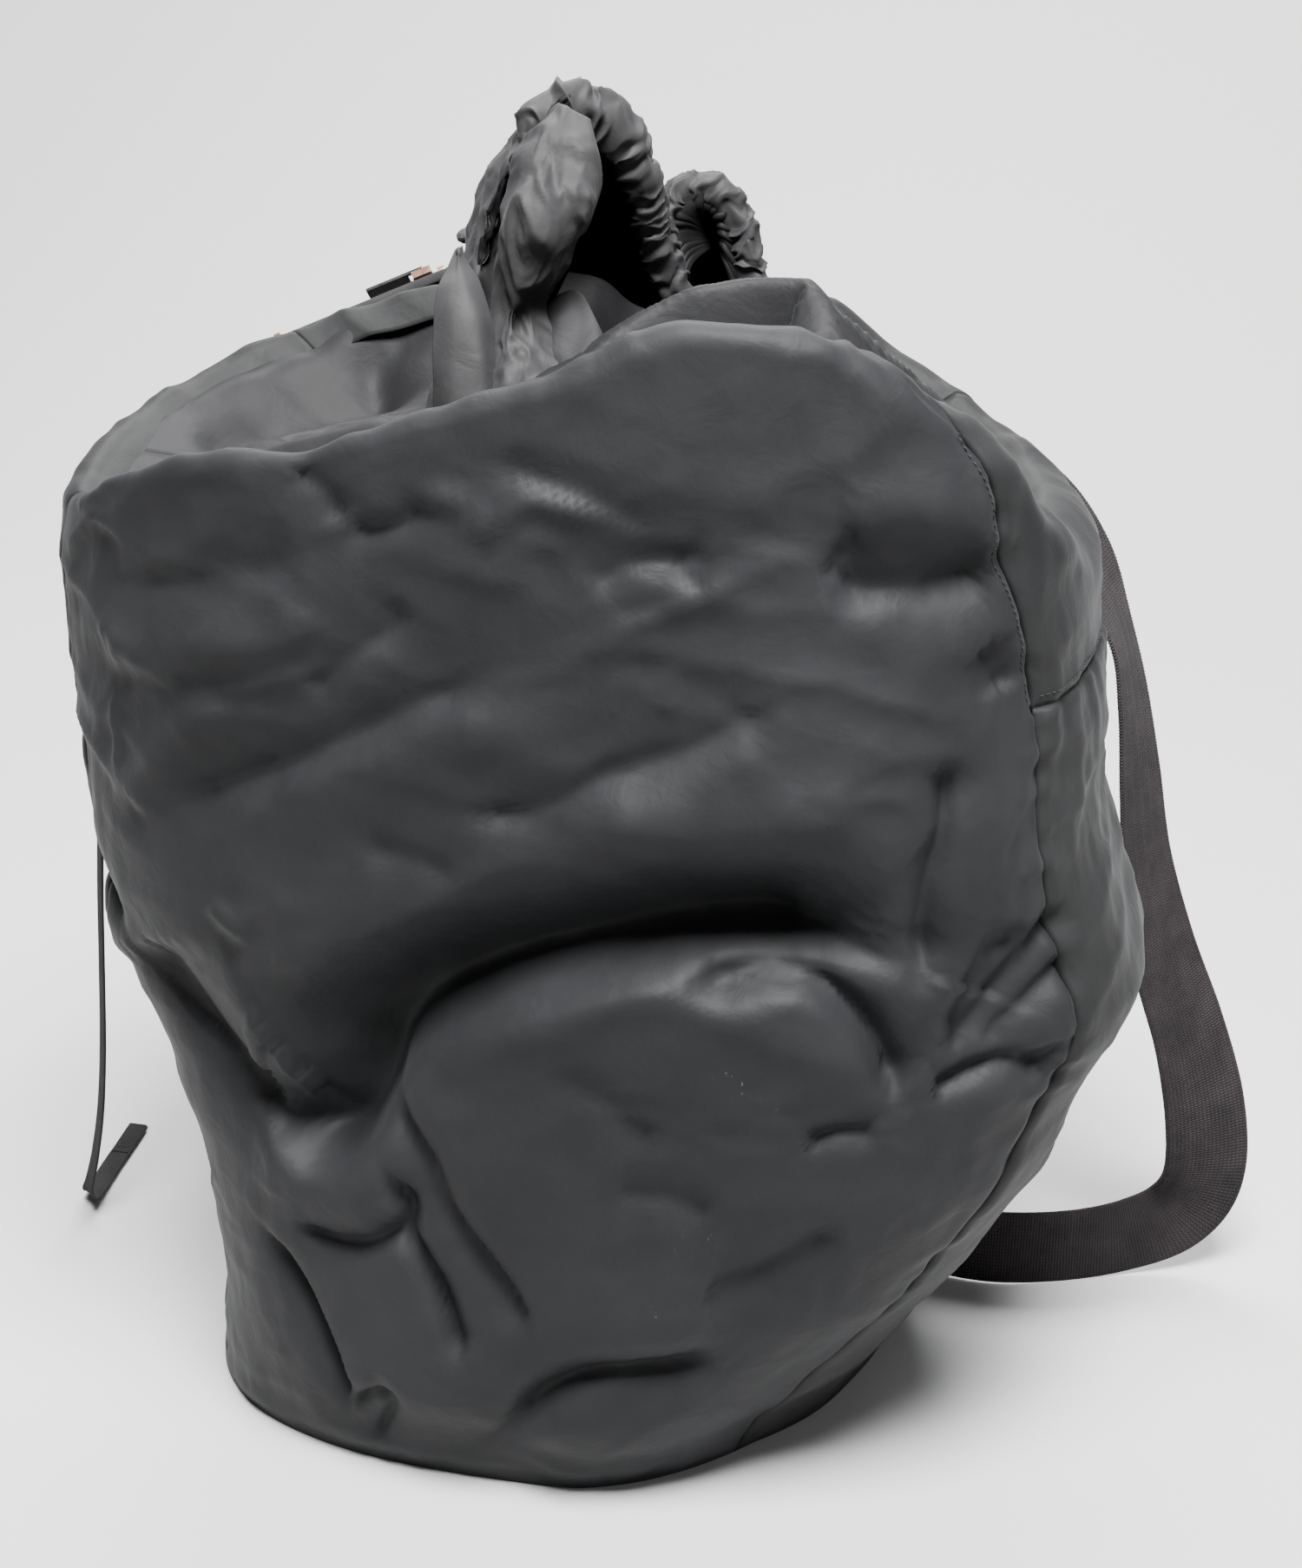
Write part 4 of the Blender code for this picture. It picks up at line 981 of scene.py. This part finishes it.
def stitches(name, line, normal, pitch, share, radius):
    """A row of thread dashes lying on a surface."""
    d = along(line)
    both = np.concatenate([line, normal], 1)
    bow = np.sin(np.linspace(0, math.pi, 5))
    turns = np.linspace(0, math.tau, 7)[:-1]
    vertices, faces = [], []
    for k in range(int(d[-1] / pitch)):
        at = np.linspace(k * pitch, (k + share) * pitch, 5)
        row = np.stack([np.interp(at, d, both[:, c]) for c in range(6)], 1)
        p, n = row[:, :3], unit(row[:, 3:])
        across = np.cross(tangents(p), n)
        faces += tube_faces(5, 6, len(vertices))
        for i in range(5):
            r = radius * (0.45 + 0.55 * bow[i])
            centre = p[i] + n[i] * radius * (0.9 * bow[i] - 0.35)
            for turn in turns:
                vertices.append(centre + across[i] * r * math.cos(turn) + n[i] * r * math.sin(turn))
    on_sack(add_mesh(name, vertices, faces, THREAD, np.zeros((len(vertices), 2))))


def on_wall(deg, z):
    """Points and normals on the displaced wall at angles in degrees and heights."""
    points, normals = [], []
    for place in zip(deg, z):
        theta = np.radians(np.array([[place[0] - 0.25, place[0], place[0] + 0.25]] * 3))
        heights = np.array([[place[1] - 0.0012] * 3, [place[1]] * 3, [place[1] + 0.0012] * 3])
        p = outline(theta, heights)
        height = relief(theta, heights) + seam_dip(theta, heights) + crumple(p, theta, heights)
        p = p + surface_normals(p) * height[..., None]
        normals.append(surface_normals(p)[1, 1])
        points.append(p[1, 1] + normals[-1] * THREAD_LIFT)
    return np.array(points), np.array(normals)


# ---------------------------------------------------------------- seams and stitching

side_z = np.linspace(CROSS_SEAM_Z + 0.004, 0.452, 60)
side_deg = np.degrees(seam_angle(side_z)) - 1.35
stitches("side_topstitch", *on_wall(side_deg, side_z), 0.0030, 0.62, 0.00030)
cross_deg = np.linspace(334.2, 405.5, 80)
cross_z = 0 * cross_deg + CROSS_SEAM_Z + 0.0045
stitches("cross_topstitch", *on_wall(cross_deg, cross_z), 0.0026, 0.62, 0.00032)

for name, node_name, deg in (("binding_left", "seam_binding_left", LEFT_SEAM_DEG),
                             ("binding_right", "seam_binding_right", None)):
    z = np.linspace(0.020, 0.352, 120)
    theta = seam_angle(z) if deg is None else np.radians(deg) + 0 * z
    middle = outline(theta, z)
    way = inward(middle, -0.03)
    middle = middle + way * 0.0150
    on_sack(band(name, middle, way, np.cross(tangents(middle), way), 0.0060, 0.0016, TAPE, "tape", 0.0001),
            node_name)


# ---------------------------------------------------------------- shoulder strap

STRAP_WIDTH, STRAP_THICK = 0.038, 0.0016
# Place in mm and width direction
STRAP_ROUTE = np.array((
    (0, 113, 398, 0.287, 0, 0.958), (40, 113, 386, 0.287, 0, 0.958), (85, 113, 372.5, 0.287, 0, 0.958),
    (118, 109, 358, 0.4, 0.45, 0.7), (144, 104, 338, 0.3, 0.9, 0.3), (160, 100, 312, 0.1, 1, 0.1),
    (168, 98, 282, 0.2, 0.95, 0.05), (174, 96, 245, 0.35, 0.9, 0), (180, 96, 205, 0.45, 0.85, 0),
    (190, 97, 165, 0.6, 0.75, 0.05), (204, 99, 125, 0.72, 0.65, 0), (214, 101, 85, 0.85, 0.45, -0.1),
    (216, 102, 52, 0.85, 0.3, -0.4), (206, 102, 30, 0.6, 0.1, -0.8), (186, 95, 21, 0.15, 0, -1),
    (160, 83, 19.5, 0, 0, -1), (130, 75.5, 19.5, 0, 0, -1), (104, 77, 19.5, 0, 0, -1),
    (82, 84, 19.5, 0, 0, -1), (58, 94, 19.5, 0, 0, -1),
)) / (1000, 1000, 1000, 1, 1, 1)
STRAP_ROWS = (-0.0148, -0.0074, 0.0, 0.0074, 0.0148)

places, widths, faces_of = route_frames(STRAP_ROUTE, 0.00026)
strap = band("strap_band", places, widths, faces_of, STRAP_WIDTH, STRAP_THICK, WEBBING, "webbing",
             0.00017, 0.0013, STRAP_ROWS, held="hung")
on_sack(strap, "strap_webbing")


def flat_piece(name, centre, run, across, size, node_name):
    """Short straight woven piece, ribbed across."""
    run, across = unit(np.array(run)), unit(np.array(across))
    s = np.linspace(-size[0] / 2, size[0] / 2, int(size[0] / 0.00028))[:, None]
    middle = np.array(centre) + run * s
    face = np.cross(run, across)
    thing = band(name, middle, across + 0 * middle, face + 0 * middle, size[1], size[2], WEBBING,
                 "webbing", 0.00016, 0.0013, held="laid")
    on_sack(thing, node_name)
    return run, across, face if face[1] > 0 else -face


def box_stitch(name, centre, run, across, face, half_run, half_across, lift):
    """A sewn square with its cross."""
    centre = np.array(centre) + face * lift
    a, b = run * half_run, across * half_across
    corners = [centre - a - b, centre + a - b, centre + a + b, centre - a + b]
    line = even(np.array([corners[k] for k in (0, 1, 2, 3, 0, 2, 1, 3)]), 400)
    stitches(name, line, face + 0 * line, 0.0026, 0.66, 0.00030)


PATCH_AT = (-0.012, 0.1108, 0.398)
run, across, out = flat_piece("anchor_patch", PATCH_AT, (0.95, 0, -0.30), (0.30, 0, 0.95),
                              (0.052, 0.048, 0.0020), "strap_anchor_patch")
box_stitch("anchor_stitch", np.array((0.0, 0.1130, 0.398)) + run * 0.004, run, across, out, 0.008, 0.014,
           0.0011)
TAB_AT = (0.043, 0.1007, 0.0195)
run, across, out = flat_piece("lower_tab", TAB_AT, (-0.92, 0.37, 0), (0, 0, 1),
                              (0.026, STRAP_WIDTH, 0.0030), "strap_lower_tab")
box_stitch("lower_tab_stitch", TAB_AT, run, across, out, 0.010, 0.014, 0.0018)
box_stitch("lower_tab_stitch_in", TAB_AT, run, across, -out, 0.010, 0.014, 0.0018)


# ---------------------------------------------------------------- draw tape

TAPE_ROUTE = metres((
    (-233.5, 32, 352), (-238.5, 31.6, 346), (-242, 31, 330), (-245.5, 30.4, 300), (-250, 30, 260),
    (-254.5, 30.2, 220), (-258.5, 30.8, 180), (-262, 32, 140), (-266, 34, 100), (-271, 36.2, 65),
    (-277, 38.5, 38), (-283, 42, 18), (-286.5, 50, 7), (-288, 62, 3), (-288.5, 78, 2.5),
    (-288.5, 90, 2.5),
))
TAPE_WIDTH, TAPE_THICK = 0.010, 0.0011
tape_line = even(catmull(TAPE_ROUTE, 12), 900)
t = tangents(tape_line)
down = np.clip(-t[:, 2:], 0, 1)
across = np.array((0.55, -0.84, 0.0)) * down + np.array((1.0, 0.0, 0.0)) * (1 - down)
across = unit(across - t * (across * t).sum(1, keepdims=True))
tape = band("draw_tape_band", tape_line, across, np.cross(t, across), TAPE_WIDTH, TAPE_THICK, TAPE, "tape",
            0.00010, 0.0010, (-0.0035, 0.0035))
on_sack(tape, "draw_tape")
end_line = np.linspace((-0.2885, 0.0895, 0.0020), (-0.2885, 0.1138, 0.0020), 90)
end_across = np.array((1.0, 0, 0)) + 0 * end_line
tape_end = band("draw_tape_tab", end_line, end_across, np.array((0, 0, 1.0)) + 0 * end_line,
                TAPE_WIDTH, 0.0028, TAPE, "tape", 0.00012, 0.0010)
on_sack(tape_end, "draw_tape_end")
for name, y in (("tape_tab_stitch_a", 0.0935), ("tape_tab_stitch_b", 0.1090)):
    line = np.linspace((-0.2925, y, 0.00345), (-0.2845, y, 0.00345), 12)
    stitches(name, line, np.array((0, 0, 1.0)) + 0 * line, 0.0016, 0.6, 0.00022)


# ---------------------------------------------------------------- draw cord

exit_dir = np.array((math.cos(math.radians(140)), math.sin(math.radians(140)), 0.0))
side_dir = np.array((-exit_dir[1], exit_dir[0], 0.0)) * 0.0024
cord_start = np.array((-0.0598, 0.0311, 0.4670))
for name, sign, node_name in (("draw_cord_strand_a", 1, "draw_cord"), ("draw_cord_strand_b", -1, None)):
    tails = [cord_start + exit_dir * d + side_dir * sign for d in (-0.006, 0.006, 0.020, 0.034, 0.0435)]
    line = even(catmull(tails, 10), 120)
    on_sack(tube(name, line, 0.0015, ELASTIC, 12, 0.05, 0.0016), node_name)


# ---------------------------------------------------------------- hang loop

turn = np.linspace(0, math.pi, 61)
arch = np.stack([-0.098 - 0.011 * np.cos(turn), 0.1120 + 0 * turn, 0.430 + 0.016 * np.sin(turn)], 1)
legs = [np.linspace((arch[0][0], 0.112, 0.410), arch[0], 30)[:-1], arch,
        np.linspace(arch[-1], (arch[-1][0], 0.112, 0.410), 30)[1:]]
loop_line = even(np.vstack(legs), 260)
loop_across = np.array((0, 1.0, 0)) + 0 * loop_line
loop = band("hang_loop_band", loop_line, loop_across, np.cross(tangents(loop_line), loop_across),
            0.0050, 0.0014, WEBBING, "webbing", 0.00010, 0.0010)
on_sack(loop, "hang_loop")


# ---------------------------------------------------------------- zip and pocket

ZIP_FROM, ZIP_TO = np.array((-0.1865, 0.0880, 0.4085)), np.array((-0.1153, 0.1100, 0.4375))
zip_run = unit(ZIP_TO - ZIP_FROM)
zip_out = np.array((-0.22, 0.80, 0.56))
zip_out = unit(zip_out - zip_run * zip_out.dot(zip_run))
zip_side = np.cross(zip_out, zip_run)
zip_middle, zip_length = (ZIP_FROM + ZIP_TO) / 2, float(np.linalg.norm(ZIP_TO - ZIP_FROM))
TAPE_BEND = 0.0055
for name, sign in (("zip_tape_cloth_upper", -1), ("zip_tape_cloth_lower", 1)):
    s = np.linspace(-zip_length / 2, zip_length / 2, 280)[:, None, None]
    v = np.linspace(0.0002, 0.0104, 14)[None, :, None]
    away = TAPE_BEND * np.sin(v / TAPE_BEND)
    sunk = TAPE_BEND * (1 - np.cos(v / TAPE_BEND))
    rib = 0.00008 * np.sin(math.tau * s / 0.0010)
    p = zip_middle + zip_run * s + zip_side * sign * away + zip_out * (0.0004 - sunk + rib)
    on_sack(cloth(name, p if sign > 0 else p[:, ::-1], TAPE), name.replace("cloth_", ""))


COIL_PITCH = 0.0012


def coil(name, sign, node_name):
    """One half of the coil: a wire wound as flattened loops."""
    length = zip_length - 0.012
    turns = int(length / COIL_PITCH)
    a = np.linspace(0, turns * math.tau, turns * 14)
    s = -length / 2 + a / math.tau * COIL_PITCH
    v = 0.0011 * sign + 0.00075 * np.cos(a)
    h = 0.00135 + 0.00060 * np.sin(a)
    line = zip_middle + zip_run * s[:, None] + zip_side * v[:, None] + zip_out * h[:, None]
    on_sack(tube(name, line, 0.00030, COIL, 6), node_name)


coil("zip_coil_teeth_upper", -1, "zip_coil_upper")
coil("zip_coil_teeth_lower", 1, "zip_coil_lower")

# Pocket bag: its left edge, width, foot and height, just inside the back wall
POCKET_X, POCKET_WIDE, POCKET_Z, POCKET_HIGH = -0.1739, 0.070, 0.330, 0.060
# Middle, half width, middle depth and half depth of the wall there
WALL_X, WALL_HALF, WALL_Y, WALL_DEEP = -0.0385, 0.1905, -0.002, 0.110
z, x = np.meshgrid(np.linspace(POCKET_Z, POCKET_Z + POCKET_HIGH, 70),
                   np.linspace(POCKET_X, POCKET_X + POCKET_WIDE, 90), indexing="ij")
wall = WALL_Y + WALL_DEEP * (1 - np.abs((x - WALL_X) / WALL_HALF) ** ROUNDNESS) ** (1 / ROUNDNESS)
bulge = np.sin(math.pi * (x - POCKET_X) / POCKET_WIDE) * np.sin(math.pi * (z - POCKET_Z) / POCKET_HIGH)
p = np.stack([x, wall - 0.0075 - 0.0010 * bulge, z], -1)[:, ::-1]
p[..., 1] += 0.0010 * value_noise(p, 0.012, 2.0)
pocket = cloth("pocket_cloth", p, SHADED_INSIDE_CLOTH, 0.0024)
on_sack(pocket, "pocket_bag")


# ---------------------------------------------------------------- CAD nodes that show

FINISH = {
    "base_panel": SHELL_RIGHT, "base_board": BOARD, "eyelet": BLACK_METAL, "cord_lock_body": PLASTIC,
    "cord_lock_button": PLASTIC, "cord_lock_spring": STEEL, "draw_cord_knot": ELASTIC,
    "strap_slider": PLASTIC, "zip_stop_left": COPPER, "zip_stop_right": COPPER, "zip_slider": COPPER,
    "zip_pull": BLACK_METAL,
}
for name, paint in FINISH.items():
    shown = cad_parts[name]
    for place in shown.material_slots:
        place.material = paint


# ---------------------------------------------------------------- stage, light and camera


# Paper floor that sweeps up behind the sack
floor_mesh = bpy.data.meshes.new("floor")
REACH, WALL_AT, BEND, WALL_TOP = 3.0, 1.6, 0.8, 3.5
profile = [(-REACH, 0.0), (WALL_AT - BEND, 0.0)]
for k in range(1, 17):
    a = math.pi / 2 * k / 16
    profile.append((WALL_AT - BEND + BEND * math.sin(a), BEND - BEND * math.cos(a)))
profile.append((WALL_AT, WALL_TOP))
vertices = [(x, y, z - 0.0002) for y, z in profile for x in (-REACH, REACH)]
strips = [(k, k + 1, k + 3, k + 2) for k in range(0, 2 * len(profile) - 2, 2)]
floor_mesh.from_pydata(vertices, [], strips)
floor_mesh.shade_smooth()
paper, _, shader = start_material("floor_paper", 0.9, 0.2)
shader.inputs["Base Color"].default_value = (0.42, 0.42, 0.42, 1)
floor_mesh.materials.append(paper)
floor = bpy.data.objects.new("floor", floor_mesh)
bpy.context.scene.collection.objects.link(floor)

world = bpy.data.worlds.new("studio")
world.use_nodes = True
world.node_tree.nodes["Background"].inputs["Color"].default_value = (1, 1, 1, 1)
world.node_tree.nodes["Background"].inputs["Strength"].default_value = 0.07
bpy.context.scene.world = world


def softbox(name, place, aim, size, power):
    """Rectangular studio light, in metres and watts."""
    data = bpy.data.lights.new(name, "AREA")
    data.shape = "RECTANGLE"
    data.size, data.size_y = size
    data.energy = power
    lamp = bpy.data.objects.new(name, data)
    lamp.location = place
    lamp.rotation_euler = (Vector(aim) - Vector(place)).to_track_quat("-Z", "Y").to_euler()
    bpy.context.scene.collection.objects.link(lamp)


softbox("key", (0.20, -0.62, 1.95), (0.0, 0.0, 0.30), (0.8, 0.6), 250)
softbox("fill", (1.5, -1.3, 0.9), (0.0, 0.0, 0.25), (1.0, 1.0), 10)
softbox("back", (-0.3, 1.1, 1.7), (0.0, 0.0, 0.35), (1.4, 0.8), 90)

# Fitted to the photo's view
CAMERA_AT, CAMERA_AIM = Vector((0.189, -0.959, 0.759)), Vector((-0.011, 0.0, 0.271))
LENS_MM, SENSOR_MM = 64.68, 36.0
camera_data = bpy.data.cameras.new("camera")
camera_data.lens = LENS_MM
camera_data.sensor_width = SENSOR_MM
camera = bpy.data.objects.new("camera", camera_data)
camera.location = CAMERA_AT
camera.rotation_euler = (CAMERA_AIM - CAMERA_AT).to_track_quat("-Z", "Y").to_euler()
bpy.context.scene.collection.objects.link(camera)
bpy.context.scene.camera = camera
